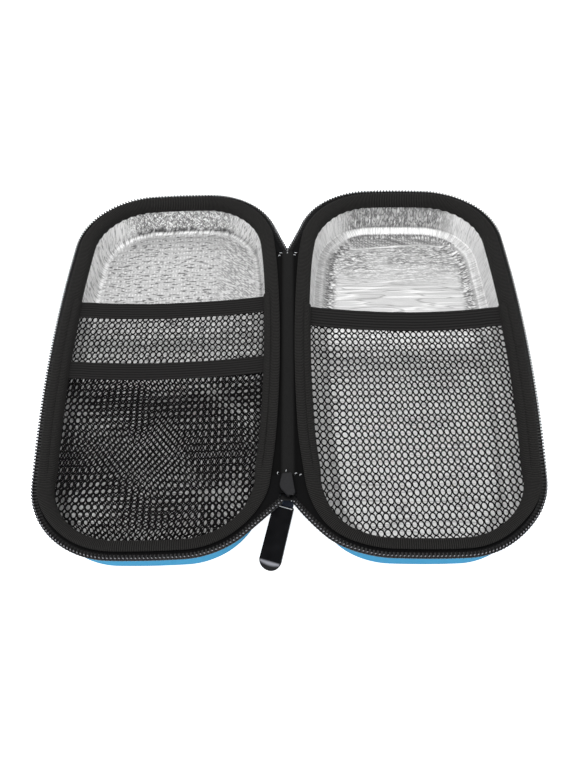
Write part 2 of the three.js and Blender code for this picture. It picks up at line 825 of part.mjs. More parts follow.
const lowerNetZ = -lipDrop - clearance - netThickness;
const upperNetZ = lowerNetZ - clearance - netThickness;

const rightHalf = new THREE.Group();
rightHalf.position.z = rightDepth;
addHalf(rightHalf, 'right', 1, rightDepth, rightBackRadius, rightLiner, rightMouth);
add(rightHalf, 'right_pocket_net', pocketNet(rightMouth), blackNet, centreX, lowerNetZ);
add(rightHalf, 'right_pocket_elastic', elastic(rightMouth, elasticThickness), blackElastic, centreX);

const leftParts = new THREE.Group();
leftParts.position.z = -clearance;
addHalf(leftParts, 'left', -1, leftDepth, leftBackRadius, leftLiner, leftUpperMouth);
const doubleElastic = elasticThickness + clearance + netThickness;
add(leftParts, 'left_upper_pocket_net', pocketNet(leftUpperMouth), blackNet, -centreX, upperNetZ);
add(leftParts, 'left_upper_pocket_elastic', elastic(leftUpperMouth, doubleElastic), blackElastic, -centreX);
add(leftParts, 'left_lower_pocket_net', pocketNet(leftLowerMouth), blackNet, -centreX, lowerNetZ);
add(leftParts, 'left_lower_pocket_elastic', elastic(leftLowerMouth, elasticThickness), blackElastic, -centreX);
const leftHalf = new THREE.Group();
leftHalf.position.z = hingeHeight;
leftHalf.rotation.y = -restLean;
leftHalf.add(leftParts);

const spine = new THREE.Group();
spine.position.z = hingeHeight;
add(spine, 'spine_inner_strip', spineInner(), blackTape);
add(spine, 'spine_outer_strip', spineOuter(), blueEva);
add(spine, 'spine_far_thread', spineThread(spineFarY - threadSetBack), greyThread);
add(spine, 'spine_near_thread', spineThread(spineNearY + threadSetBack), greyThread);

// The slider sits half way between the lean of the two halves
const sliderGroup = new THREE.Group();
sliderGroup.position.z = hingeHeight;
sliderGroup.rotation.y = -restLean / 2;
add(sliderGroup, 'zip_joined_end', joinedZip(), blackTeeth, 0, -clearance);
add(sliderGroup, 'slider_body', sliderBody(), greyCastMetal, 0, -clearance);

// The pull leans forward and down until its tip meets the table
const pivotDrop = clearance + plateGap + sliderPlate + bridgeHeadroom / 2 - chainMid;
const pivotX = pivotDrop * Math.sin(restLean / 2);
const pivotHeight = hingeHeight - pivotDrop * Math.cos(restLean / 2);
const pivotY = sliderNoseY + bridgeSetBack + bridgeLeg + bridgeOpening / 2;
const pullDrop = Math.asin(pivotHeight / Math.hypot(pullReach, tabThickness / 2))
  - Math.atan2(tabThickness / 2, pullReach);
const pull = new THREE.Group();
pull.position.set(pivotX, pivotY, pivotHeight);
pull.rotation.order = 'ZYX';
pull.rotation.z = -Math.PI / 2 - THREE.MathUtils.degToRad(pullYawDeg);
pull.rotation.y = pullDrop;
add(pull, 'pull_link', pullLink(), greyCastMetal);
add(pull, 'pull_tab', pullTab(), glossBlack);

const insulinCase = new THREE.Group();
insulinCase.add(rightHalf, leftHalf, spine, sliderGroup, pull);

export default insulinCase;
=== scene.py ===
import math

import bmesh
import bpy
import numpy as np
from mathutils import Matrix, Vector, noise


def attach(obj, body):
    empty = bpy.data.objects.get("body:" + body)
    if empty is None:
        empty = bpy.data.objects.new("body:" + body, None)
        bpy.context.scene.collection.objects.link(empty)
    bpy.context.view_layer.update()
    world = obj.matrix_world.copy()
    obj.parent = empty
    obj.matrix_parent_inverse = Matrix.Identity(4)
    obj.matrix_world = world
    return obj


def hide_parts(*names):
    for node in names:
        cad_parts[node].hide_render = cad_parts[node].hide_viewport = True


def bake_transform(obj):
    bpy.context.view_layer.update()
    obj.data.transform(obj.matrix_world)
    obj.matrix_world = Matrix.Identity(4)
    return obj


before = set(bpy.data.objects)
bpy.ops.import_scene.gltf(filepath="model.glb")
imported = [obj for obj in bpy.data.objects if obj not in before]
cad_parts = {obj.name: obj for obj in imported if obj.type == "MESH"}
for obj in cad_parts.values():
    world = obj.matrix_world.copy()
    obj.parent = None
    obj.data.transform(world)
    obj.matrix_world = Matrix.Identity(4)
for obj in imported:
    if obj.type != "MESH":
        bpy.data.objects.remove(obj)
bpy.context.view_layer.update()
scene = bpy.context.scene

# Everything is drawn in millimetres about its own half, and made metres when it is placed
case = {
    "halfWidth": 110.0,      # one half at the tips of the zip teeth
    "halfLength": 215.6,
    "sideBow": 850.0,        # radii of the long side, the end and the corner
    "endBow": 350.0,
    "corner": 39.0,
    "centreX": 56.8,
    "hingeHeight": 27.3,
    "crownGap": 0.3,
    "leanDeg": 2.7211,       # the shallower left half leans on its back
}
metres = 0.001


# Outline of a half: three arcs a quarter

sideCentre = Vector((case["halfWidth"] / 2 - case["sideBow"], 0))
endCentre = Vector((0, case["halfLength"] / 2 - case["endBow"]))


def meetingPoint(a, radiusA, b, radiusB):
    between = b - a
    distance = between.length
    along = (radiusA ** 2 - radiusB ** 2 + distance ** 2) / (2 * distance)
    across = math.sqrt(radiusA ** 2 - along ** 2)
    between.normalize()
    return a + between * along + Vector((-between.y, between.x)) * across


cornerCentre = meetingPoint(sideCentre, case["sideBow"] - case["corner"],
                            endCentre, case["endBow"] - case["corner"])
sideEnd = math.atan2(*reversed(cornerCentre - sideCentre))
cornerEnd = math.atan2(*reversed(cornerCentre - endCentre))


def arcAt(angle):
    folded = math.atan2(abs(math.sin(angle)), abs(math.cos(angle)))
    if folded < sideEnd:
        return sideCentre, case["sideBow"]
    if folded > cornerEnd:
        return endCentre, case["endBow"]
    return cornerCentre, case["corner"]


def edgePoint(angle, inset=0.0):
    centre, radius = arcAt(angle)
    normal = Vector((math.cos(angle), math.sin(angle)))
    middle = Vector([math.copysign(c, c * n) for c, n in zip(centre, normal)])
    return middle + normal * (radius - inset)


def evenAngles(start, end, spacing, inset=0.0, multiple=1):
    # normal angles from start up to end, evenly spaced along the edge
    marks = {start, end}
    for turn in range(-3, 4):
        for mark in (sideEnd, cornerEnd):
            marks.update(a for a in (turn * math.pi + mark, turn * math.pi - mark) if start < a < end)
    marks = sorted(marks)
    lengths = [0.0]
    for a, b in zip(marks, marks[1:]):
        lengths.append(lengths[-1] + (arcAt((a + b) / 2)[1] - inset) * (b - a))
    count = max(1, round(lengths[-1] / spacing / multiple)) * multiple
    places = np.linspace(0, lengths[-1], count + 1)
    return list(np.interp(places, lengths, marks)), lengths[-1]


def edgeFrame(x, y):
    # how far a point is inside the edge, and the outward normal there
    px, py = abs(x), abs(y)
    out = Vector((px, py)) - cornerCentre
    if out.length > 1e-6 and sideEnd < math.atan2(out.y, out.x) < cornerEnd:
        inset = case["corner"] - out.length
        normal = out.normalized()
    else:
        fromSide = Vector((px, py)) - sideCentre
        fromEnd = Vector((px, py)) - endCentre
        side, end = case["sideBow"] - fromSide.length, case["endBow"] - fromEnd.length
        inset, normal = (side, fromSide.normalized()) if side < end else (end, fromEnd.normalized())
    return inset, Vector((math.copysign(normal.x, x), math.copysign(normal.y, y)))


def turnOf(normal):
    # nothing on the long sides, a quarter turn on the ends
    return math.atan2(abs(normal.y), abs(normal.x))


def pushOut(vertex, distance):
    # away from the middle of the half, square to its edge
    normal = edgeFrame(vertex.co.x, vertex.co.y)[1]
    vertex.co.x += normal.x * distance
    vertex.co.y += normal.y * distance


def halfWidthAt(y, inset):
    low, high = 0.0, case["halfWidth"] / 2
    for _ in range(40):
        middle = (low + high) / 2
        if edgeFrame(middle, y)[0] > inset:
            low = middle
        else:
            high = middle
    return low


# Making and placing

def halfMatrix(side):
    lean = 0.0 if side > 0 else math.radians(case["leanDeg"])
    return (Matrix.Translation((0, 0, case["hingeHeight"])) @ Matrix.Rotation(-lean, 4, "Y")
            @ Matrix.Translation((side * case["centreX"], 0, -case["crownGap"]))
            @ Matrix.Diagonal((side, 1, 1, 1)))


def choose(*pieces):
    bpy.ops.object.select_all(action="DESELECT")
    for piece in pieces:
        piece.select_set(True)
    bpy.context.view_layer.objects.active = pieces[0]


def newObject(name, data):
    made = bpy.data.objects.new(name, data)
    scene.collection.objects.link(made)
    return made


def markPoints(piece, name, values):
    # a value at each point, which the piece's material reads
    piece.data.attributes.new(name, "FLOAT", "POINT").data.foreach_set("value", values)


def finishPiece(piece, material, body, replaced=(), matrix=None, smoothDeg=40):
    # to metres and to its place, then smooth, finished and riding on its body
    place = Matrix.Scale(metres, 4) @ (matrix or Matrix.Identity(4))
    piece.data.transform(place)
    if place.determinant() < 0:
        piece.data.flip_normals()
    piece.data.materials.clear()
    piece.data.materials.append(material)
    choose(piece)
    bpy.ops.object.shade_smooth_by_angle(angle=math.radians(smoothDeg))
    piece.select_set(False)
    if replaced:
        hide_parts(*replaced)
    if body:
        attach(piece, body)
    return piece


def polyCurve(name, lines, closed, flat=False):
    curve = bpy.data.curves.new(name, "CURVE")
    curve.dimensions = "2D" if flat else "3D"
    curve.twist_mode = "Z_UP"
    for points in lines:
        spline = curve.splines.new("POLY")
        spline.points.add(len(points) - 1)
        for place, point in zip(spline.points, points):
            place.co = (point[0], point[1], point[2] if len(point) > 2 else 0.0, 1.0)
        spline.use_cyclic_u = closed
    return newObject(name, curve)


def toMesh(thing):
    choose(thing)
    bpy.ops.object.convert(target="MESH")
    return bpy.context.object


def bendWire(name, path, radius, resolution):
    # a round wire along the path, with closed ends
    wire = polyCurve(name, [path], False)
    wire.data.bevel_depth = radius
    wire.data.bevel_resolution = resolution
    wire.data.use_fill_caps = True
    return toMesh(wire)


def distancesAlong(points):
    distances = [0.0]
    for one, two in zip(points, points[1:]):
        distances.append(distances[-1] + (Vector(one) - Vector(two)).length)
    return distances


def sweep(name, path, section, closedPath=True, closedSection=True):
    # section points are (inset from the path, height); the path runs counterclockwise
    rail = polyCurve(name, [path], closedPath)
    outline = [(-inset, level) for inset, level in section]
    profile = polyCurve(name + "_section", [outline], closedSection, True)
    rail.data.bevel_mode = "OBJECT"
    rail.data.bevel_object = profile
    piece = toMesh(rail)
    bpy.data.objects.remove(profile)
    length = distancesAlong(path + path[:1] if closedPath else path)[-1]
    width = distancesAlong(section + section[:1] if closedSection else section)[-1]
    for loop in piece.data.uv_layers["UVMap"].data:    # one unit of the map is a millimetre
        loop.uv = (loop.uv[0] * length, loop.uv[1] * width)
    closeAndFaceOut(piece, caps=not closedPath and closedSection)
    return piece


def closeAndFaceOut(piece, caps=False):
    mesh = bmesh.new()
    mesh.from_mesh(piece.data)
    bmesh.ops.remove_doubles(mesh, verts=mesh.verts, dist=1e-4)
    if caps:
        bmesh.ops.holes_fill(mesh, edges=[e for e in mesh.edges if e.is_boundary], sides=0)
    bmesh.ops.recalc_face_normals(mesh, faces=mesh.faces)
    mesh.to_mesh(piece.data)
    mesh.free()


def ringPath(spacing, multiple=4):
    angles, _ = evenAngles(0.0, 2 * math.pi, spacing, 0.0, multiple)
    return [(*edgePoint(a), 0.0) for a in angles[:-1]]


def skin(name, rows):
    # a closed skin through rows of points, each row a loop round the piece
    count = len(rows[0])
    faces = []
    for a in range(0, (len(rows) - 1) * count, count):
        b = a + count
        for j in range(count):
            k = (j + 1) % count
            faces.append((a + j, a + k, b + k, b + j))
    faces.append(tuple(range(count)))
    faces.append(tuple(range((len(rows) - 1) * count, len(rows) * count)))
    data = bpy.data.meshes.new(name)
    data.from_pydata([tuple(p) for row in rows for p in row], [], faces)
    layer = data.uv_layers.new(name="UVMap")
    along, across = distancesAlong([row[0] for row in rows]), distancesAlong(rows[0])
    for loop in data.loops:
        row, column = divmod(loop.vertex_index, count)
        layer.data[loop.index].uv = (along[row], across[column])
    piece = newObject(name, data)
    closeAndFaceOut(piece)
    return piece


def thicken(piece, thickness):
    # inwards from the side that its faces look to
    bpy.context.view_layer.objects.active = piece
    made = piece.modifiers.new("Solidify", "SOLIDIFY")
    made.thickness, made.offset = thickness, -1.0
    bpy.ops.object.modifier_apply(modifier=made.name)


def joinPieces(name, parts):
    choose(*parts)
    bpy.ops.object.join()
    joined = bpy.context.object
    joined.name = name
    return joined


def smoothStep(low, high, value):
    share = min(1.0, max(0.0, (value - low) / (high - low)))
    return share * share * (3 - 2 * share)


def noiseAt(x, y, z):
    # smooth seeded noise, from about -1 to 1
    return noise.noise(Vector((x, y, z)))


def throughPoints(points, steps):
    # a smooth open line through the points
    line = []
    ends = [points[0]] + points + [points[-1]]
    for a, b, c, d in zip(ends, ends[1:], ends[2:], ends[3:]):
        for step in range(steps):
            t = step / steps
            line.append(tuple(0.5 * (2 * q + (r - p) * t + (2 * p - 5 * q + 4 * r - s) * t * t
                                     + (3 * q - p - 3 * r + s) * t ** 3) for p, q, r, s in zip(a, b, c, d)))
    return line + [points[-1]]


def densify(points, spacing):
    line = [points[0]]
    for a, b in zip(points, points[1:]):
        steps = max(1, round((Vector(b) - Vector(a)).length / spacing))
        line += [tuple(Vector(a).lerp(Vector(b), (i + 1) / steps)) for i in range(steps)]
    return line


# Materials

def linear(hexText):
    values = [int(hexText[i:i + 2], 16) / 255 for i in (1, 3, 5)]
    return [*(v / 12.92 if v <= 0.04045 else ((v + 0.055) / 1.055) ** 2.4 for v in values), 1.0]


def addNode(tree, kind, settings=None, links=None):
    # settings are input values or the node's own properties; links feed its inputs
    made = tree.nodes.new("ShaderNode" + kind)
    for key, value in (settings or {}).items():
        if isinstance(key, str) and hasattr(made, key):
            setattr(made, key, value)
        else:
            made.inputs[key].default_value = value
    for key, source in (links or {}).items():
        tree.links.new(source, made.inputs[key])
    return made


def newMaterial(name, **values):
    material = bpy.data.materials.new(name)
    material.use_nodes = True
    tree = material.node_tree
    shader = tree.nodes["Principled BSDF"]
    for key, value in values.items():
        value = linear(value) if isinstance(value, str) else value
        shader.inputs[key.replace("_", " ")].default_value = value
    return material, tree, shader


def dress(tree, shader, shade, low, high, heights):
    # colour between two tones by a shade, and bumps on each other as (height, distance in metres, strength)
    tones = addNode(tree, "Mix", {"data_type": "RGBA", 6: linear(low), 7: linear(high)}, {0: shade})
    tree.links.new(tones.outputs[2], shader.inputs["Base Color"])
    links = {}
    for height, distance, strength in heights:
        links["Height"] = height
        bump = addNode(tree, "Bump", {"Distance": distance, "Strength": strength}, links)
        links = {"Normal": bump.outputs["Normal"]}
    tree.links.new(bump.outputs["Normal"], shader.inputs["Normal"])


# Polyester knit laminated on moulded EVA foam: a satin blue face with a fine weave
def makeBlueEva():
    material, tree, shader = newMaterial("polyester_laminated_eva", Roughness=0.7, Specular_IOR_Level=0.15)
    place = addNode(tree, "TexCoord").outputs["Object"]
    weave = addNode(tree, "TexVoronoi", {"Scale": 1 / 0.0007, "Randomness": 0.25}, {"Vector": place})
    cloud = addNode(tree, "TexNoise", {"Scale": 1 / 0.03, "Detail": 3.0}, {"Vector": place})
    dress(tree, shader, cloud.outputs[0], "#3688b2", "#3f93bb", [(weave.outputs["Distance"], 0.00006, 0.7)])
    return material


# Closed cell foam behind the liner: pale and dry, with fine pores
def makeClosedCellFoam():
    material, tree, shader = newMaterial("closed_cell_foam", Roughness=0.95)
    place = addNode(tree, "TexCoord").outputs["Object"]
    pores = addNode(tree, "TexVoronoi", {"Scale": 1 / 0.0009}, {"Vector": place}).outputs["Distance"]
    dress(tree, shader, pores, "#d9d9d3", "#ecece8", [(pores, 0.0001, 0.6)])
    return material


# Aluminised film laminated on foam: bright metal, roughened by layers of creases and specks, which also paint
# shade on its creases and highlights on its ridges and specks; painted light and shade by zone is laid over them
def makeFoil(label):
    material, tree, shader = newMaterial(label + "_aluminised_film", Metallic=0.4, Roughness=0.3)
    place = addNode(tree, "TexCoord").outputs["Object"]
    uv = addNode(tree, "UVMap", {"uv_map": "UVMap"}).outputs[0]
    zones = {zone: foilLayers(tree, layers, place, uv) for zone, layers in foilFinish[label].items()}
    floorShare, paintedLight, crinkle = (addNode(tree, "Attribute", {"attribute_name": name}).outputs["Fac"]
                                 for name in ("floorShare", "paintedLight", "crinkle"))
    wall = addNode(tree, "Mix", {}, {0: crinkle, 2: zones["calmWall"], 3: zones["crinkledWall"]}).outputs[0]
    floor = addNode(tree, "Mix", {}, {0: crinkle, 2: zones["calmFloor"], 3: zones["crinkledFloor"]}).outputs[0]
    film = addNode(tree, "Mix", {}, {0: floorShare, 2: wall, 3: floor}).outputs[0]
    shade = addNode(tree, "Math", {"operation": "MULTIPLY"}, {0: film, 1: paintedLight}).outputs[0]
    grain = addNode(tree, "TexNoise", {"Scale": 1 / 0.0009, "Detail": 3.0, "Roughness": 0.6},
                    {"Vector": place})
    dress(tree, shader, shade, "#141416", "#ffffff", [(film, 0.0004, 0.7), (grain.outputs[0], 0.0003, 0.4)])
    return material


def foilLayers(tree, layers, place, uv):
    # each layer: lines, dashes or specks, by the map or by place, size along and across in millimetres, turn,
    # sharpness, then the painted shade between the lines and on them: dark on creases, light on ridges and specks
    # as painted highlights
    shade = None
    for seed, (kind, source, size, turnDeg, sharpness, between, on) in enumerate(layers, 3):
        unit = 1.0 if source == "uv" else metres
        laid = addNode(tree, "Mapping", {
            "vector_type": "TEXTURE", "Scale": (size[0] * unit, size[1] * unit, unit * 40),
            "Rotation": (0, 0, math.radians(turnDeg)), "Location": (seed * unit, seed * unit, 0),
        }, {"Vector": uv if source == "uv" else place}).outputs[0]
        if kind == "specks":
            cells = addNode(tree, "TexVoronoi", {"Scale": 1.0, "Randomness": 0.3}, {"Vector": laid})
            spread = cells.outputs["Distance"]
        else:
            wave = addNode(tree, "TexNoise", {"Scale": 1.0, "Detail": 1.5, "Roughness": 0.5},
                           {"Vector": laid})
            level = 0.64 if kind == "dashes" else 0.5
            below = addNode(tree, "Math", {"operation": "SUBTRACT", 0: level}, {1: wave.outputs[0]})
            fold = "MAXIMUM" if kind == "dashes" else "ABSOLUTE"
            spread = addNode(tree, "Math", {"operation": fold, 1: 0.0}, {0: below.outputs[0]}).outputs[0]
        layer = addNode(tree, "MapRange", {"From Max": 1 / sharpness, "To Min": on, "To Max": between},
                        {"Value": spread}).outputs[0]
        if shade is not None:
            layer = addNode(tree, "Math", {"operation": "MULTIPLY"}, {0: shade, 1: layer}).outputs[0]
        shade = layer
    return shade


# Polyester grosgrain: charcoal ribs that run across the band, with painted shade between them, dull with a slight
# sheen
def makeGrosgrain():
    material, tree, shader = newMaterial("polyester_grosgrain", Roughness=0.95, Specular_IOR_Level=0.15,
                                         Sheen_Weight=0.02, Sheen_Roughness=0.5)
    uv = addNode(tree, "UVMap", {"uv_map": "UVMap"}).outputs[0]
    ribs = addNode(tree, "TexWave", {
        "wave_profile": "SIN", "bands_direction": "X", "Distortion": 0.35,
        "Scale": 2 * math.pi / 20 / 0.9, "Detail": 1.0, "Detail Scale": 1.5,
    }, {"Vector": uv}).outputs["Fac"]
    place = addNode(tree, "TexCoord").outputs["Object"]
    fuzz = addNode(tree, "TexNoise", {"Scale": 1 / 0.0004, "Detail": 2.0}, {"Vector": place}).outputs[0]
    lifted = addNode(tree, "Math", {"operation": "ADD", 1: 0.45}, {0: fuzz}).outputs[0]
    shade = addNode(tree, "Math", {"operation": "MULTIPLY"}, {0: ribs, 1: lifted}).outputs[0]
    dress(tree, shader, shade, "#090909", "#2d2c2b", [(ribs, 0.00028, 1.0), (fuzz, 0.00005, 0.5)])
    return material


# Woven polyester zip tape: smooth, matt and black, with a fine plain weave of 0.45 mm threads
def makeZipWeave():
    material, tree, shader = newMaterial("woven_zip_tape", Roughness=0.9, Sheen_Weight=0.02,
                                         Specular_IOR_Level=0.12)
    uv = addNode(tree, "UVMap", {"uv_map": "UVMap"}).outputs[0]
    scale = 2 * math.pi / 20 / 0.45
    threads = {}
    for i, way in enumerate("XY"):
        wave = addNode(tree, "TexWave", {"bands_direction": way, "Scale": scale}, {"Vector": uv})
        threads[i] = wave.outputs["Fac"]
    weave = addNode(tree, "Math", {"operation": "MULTIPLY"}, threads).outputs[0]
    dress(tree, shader, weave, "#050506", "#0b0b0c", [(weave, 0.00005, 0.6)])
    return material


# Woven nylon lining of the spine: black, with painted shade in its grooves and lighter on its crown
def makeLining():
    material, tree, shader = newMaterial("woven_nylon_lining", Roughness=0.9, Sheen_Weight=0.02,
                                         Specular_IOR_Level=0.1)
    place = addNode(tree, "TexCoord").outputs["Object"]
    nap = addNode(tree, "TexNoise", {"Scale": 1 / 0.0006, "Detail": 2.0}, {"Vector": place}).outputs[0]
    lit_crown = addNode(tree, "Attribute", {"attribute_name": "lit_crown"}).outputs["Fac"]
    lifted = addNode(tree, "Math", {"operation": "ADD", 1: 0.4}, {0: nap}).outputs[0]
    shade = addNode(tree, "Math", {"operation": "MULTIPLY"}, {0: lit_crown, 1: lifted}).outputs[0]
    dress(tree, shader, shade, "#050505", "#1b1b1b", [(nap, 0.00005, 0.6)])
    return material


# Knitted elastic: black ribs along the strap, with painted shade in the grooves between them
def makeElastic():
    material, tree, shader = newMaterial("knitted_elastic", Roughness=0.9, Sheen_Weight=0.02,
                                         Specular_IOR_Level=0.15)
    uv = addNode(tree, "UVMap", {"uv_map": "UVMap"}).outputs[0]
    stitch = addNode(tree, "TexWave", {"bands_direction": "X", "Scale": 2 * math.pi / 20 / 0.55,
                     "Distortion": 1.2, "Detail Scale": 2.0}, {"Vector": uv}).outputs["Fac"]
    rib = addNode(tree, "Attribute", {"attribute_name": "rib"}).outputs["Fac"]
    lifted = addNode(tree, "Math", {"operation": "MULTIPLY_ADD", 1: 0.3, 2: 0.7}, {0: stitch}).outputs[0]
    shade = addNode(tree, "Math", {"operation": "MULTIPLY"}, {0: rib, 1: lifted}).outputs[0]
    dress(tree, shader, shade, "#020202", "#272626", [(stitch, 0.00006, 0.6)])
    return material


# Finishes that are one fine grain, whose size and depth are in metres; a mark on the mesh adds a painted highlight
# to it
grainedFinishes = {
    "yarn": {         # warp knitted polyester: matt black
        "name": "warp_knitted_polyester", "roughness": 0.9, "specular": 0.12, "tones": ("#040404", "#0f0e0f"),
        "grain": 0.00035, "depth": 0.00006, "strength": 0.8},
    "nylon": {        # extruded nylon coil: glossy black, with a painted grey glint on the crest of each loop
        "name": "extruded_nylon", "roughness": 0.25, "specular": 0.3, "tones": ("#030303", "#a8a8ae"),
        "grain": 0.002, "detail": 3.0, "depth": 0.00004, "strength": 0.4, "mark": "paintedGlint", "share": 0.02},
    "thread": {       # spun polyester: pale grey, with a twist
        "name": "spun_polyester_thread", "roughness": 0.7, "specular": 0.5, "tones": ("#8d9094", "#cfd1d3"),
        "grain": 0.0003, "depth": 0.00005, "strength": 0.5},
    "zinc": {         # painted die cast zinc: dark grey satin paint with a slight orange peel
        "name": "painted_cast_zinc", "roughness": 0.5, "specular": 0.15, "tones": ("#1a1a1c", "#222224"),
        "grain": 0.0008, "depth": 0.00004, "strength": 0.35},
    "shadedZinc": {    # the same paint, made black below the shield as painted shade
        "name": "cast_zinc_painted_shade", "roughness": 0.5, "specular": 0.15, "tones": ("#040405", "#08080a"),
        "grain": 0.0008, "depth": 0.00004, "strength": 0.35},
    "link": {         # the same, made blue black as painted shade under the slider, tinted as a painted reflection of the blue shell
        "name": "cast_zinc_painted_blue_shade", "roughness": 0.5, "specular": 0.15, "tones": ("#070d18", "#0d1626"),
        "grain": 0.0008, "depth": 0.00004, "strength": 0.35},
    "enamel": {       # gloss enamel on die cast zinc: deep black, with a painted grey highlight on the ground facet at its tip
        "name": "gloss_enamel", "roughness": 0.12, "specular": 0.05, "tones": ("#020203", "#85858b"),
        "grain": 0.006, "detail": 1.0, "depth": 0.00003, "strength": 0.12, "mark": "paintedHighlight", "share": 0.04},
}


def makeGrained(name, roughness, specular, tones, grain, depth, strength, detail=2.0, mark="", share=1.0):
    material, tree, shader = newMaterial(name, Roughness=roughness, Specular_IOR_Level=specular)
    place = addNode(tree, "TexCoord").outputs["Object"]
    grains = addNode(tree, "TexNoise", {"Scale": 1 / grain, "Detail": detail}, {"Vector": place}).outputs[0]
    shade = grains
    if mark:
        marked = addNode(tree, "Attribute", {"attribute_name": mark}).outputs["Fac"]
        highlit = addNode(tree, "Math", {"operation": "MULTIPLY_ADD", 1: share}, {0: grains, 2: marked})
        shade = highlit.outputs[0]
    dress(tree, shader, shade, *tones, [(grains, depth, strength)])
    return material


# painted shade on creases and painted highlights on ridges and specks, for each zone of each half's film
foilFinish = {
    "right": {
        "calmWall": [("lines", "uv", (1.3, 16.0), 4.0, 12.0, 1.0, 0.6)],
        "crinkledWall": [("lines", "uv", (1.5, 4.0), 0.0, 9.0, 1.0, 0.25),
                     ("specks", "place", (1.5, 1.5), 0.0, 2.2, 0.45, 1.0)],
        "calmFloor": [("lines", "place", (60.0, 4.4), 1.5, 26.0, 0.7, 1.0),
                      ("lines", "place", (34.0, 3.0), -1.0, 30.0, 1.0, 0.6)],
        "crinkledFloor": [("lines", "place", (5.0, 1.5), 4.0, 9.0, 1.0, 0.12),
                      ("lines", "place", (3.4, 1.7), -28.0, 11.0, 1.0, 0.4)],
    },
    "left": {
        "calmWall": [("lines", "uv", (1.5, 13.0), 22.0, 20.0, 1.0, 0.3)],
        "crinkledWall": [("lines", "uv", (1.3, 3.4), 38.0, 10.0, 1.0, 0.25),
                     ("lines", "uv", (1.3, 3.4), -38.0, 10.0, 1.0, 0.25)],
        "calmFloor": [("specks", "place", (1.65, 3.2), 0.0, 2.8, 0.6, 1.0),
                      ("dashes", "place", (2.8, 1.0), 0.0, 12.0, 1.0, 0.3)],
        "crinkledFloor": [("lines", "place", (4.6, 1.3), -42.0, 9.0, 1.0, 0.4),
                      ("specks", "place", (1.7, 1.7), 0.0, 3.0, 0.7, 1.0)],
    },
}
finishes = {
    "eva": makeBlueEva(), "foam": makeClosedCellFoam(),
    "rightFoil": makeFoil("right"), "leftFoil": makeFoil("left"),
    "grosgrain": makeGrosgrain(), "zipTape": makeZipWeave(), "lining": makeLining(), "elastic": makeElastic(),
}
for key, form in grainedFinishes.items():
    finishes[key] = makeGrained(**form)
print("materials made")


# Moulded shell and the foam inside it

shellForm = {
    "inset": 3.4, "top": -2.5, "wall": 2.2, "draftDeg": 14.0,
    "right": {"depth": 27.0, "backRadius": 9.0},
    "left": {"depth": 22.4, "backRadius": 8.0},
}
linerForm = {
    "inset": 8.4, "top": -2.6, "film": 0.4, "floorDrop": 0.2,
    "right": {"padding": 4.0, "lean": 0.183, "bevel": (3.6, 2.0), "step": (1.2, 2.2)},
    "left": {"padding": 2.8, "lean": 0.18, "bevel": (1.2, 1.1), "step": (1.4, 0.5)},
}
sides = {"right": 1, "left": -1}


def shellProfile(label, inward, steps):
    form = shellForm[label]
    draft = math.radians(shellForm["draftDeg"])
    wallEnd = form["depth"] - form["backRadius"]
    wallInset = shellForm["inset"] + (wallEnd + shellForm["top"]) * math.tan(draft)
    line = [(shellForm["inset"] + inward / math.cos(draft), shellForm["top"])]
    radius = form["backRadius"] - inward
    for i in range(steps + 1):
        turn = draft + (math.pi / 2 - draft) * i / steps
        centreInset = wallInset + form["backRadius"] * math.cos(draft)
        line.append((centreInset - radius * math.cos(turn), -wallEnd - radius * math.sin(turn)))
    return line


def linerProfile(label, outward, top):
    form = linerForm[label]
    floor = shellForm["wall"] + form["padding"] - shellForm[label]["depth"]
    step = floor + linerForm["floorDrop"]
    bevel = step + form["step"][1]
    wall = bevel + form["bevel"][1]
    wallInset = linerForm["inset"] - wall * form["lean"]
    bevelInset = wallInset + form["bevel"][0]
    stepInset = bevelInset + form["step"][0]
    return [(linerForm["inset"] - outward, top), (wallInset - outward, wall - outward / 2),
            (bevelInset - outward, bevel - outward), (stepInset - outward, step - outward),
            (stepInset - outward + form["step"][0], floor - outward)]


def makeShell(label):
    profile = densify(shellProfile(label, 0.0, 12), 2.5)
    piece = sweep(label + "_moulded_shell", ringPath(1.7), profile, True, False)
    fillFloor(piece, profile[-1][1])
    thicken(piece, shellForm["wall"])
    return piece


def fillFloor(piece, level):
    # closes the flat floor with one grid of quads between the two ends of the half
    mesh = bmesh.new()
    mesh.from_mesh(piece.data)
    loop = [e for e in mesh.edges if e.is_boundary and all(abs(v.co.z - level) < 1e-3 for v in e.verts)]
    middle = (sideEnd + cornerEnd) / 2
    ends = []
    for edge in loop:
        place = (edge.verts[0].co + edge.verts[1].co) / 2
        if turnOf(edgeFrame(place.x, place.y)[1]) > middle:
            ends.append(edge)
    bmesh.ops.grid_fill(mesh, edges=ends, use_smooth=True)
    bmesh.ops.recalc_face_normals(mesh, faces=mesh.faces)
    # a tray's outside is the side away from its opening
    lowest = min(mesh.faces, key=lambda f: f.calc_center_median().z + abs(f.normal.z) * -0.001)
    if lowest.normal.z > 0:
        bmesh.ops.reverse_faces(mesh, faces=mesh.faces)
    mesh.to_mesh(piece.data)
    mesh.free()


def makeFoamPadding(label):
    inside = linerProfile(label, linerForm["film"] + case["crownGap"], shellForm["top"])
    outside = shellProfile(label, shellForm["wall"] + case["crownGap"], 6)
    piece = sweep(label + "_foam_padding", ringPath(4.0), inside[::-1] + outside, True, False)
    fillFloor(piece, inside[-1][1])
    fillFloor(piece, outside[-1][1])
    closeAndFaceOut(piece)
    return piece


# Foil: the dense skin is pushed about by seeded noise, as the film creases over its foam

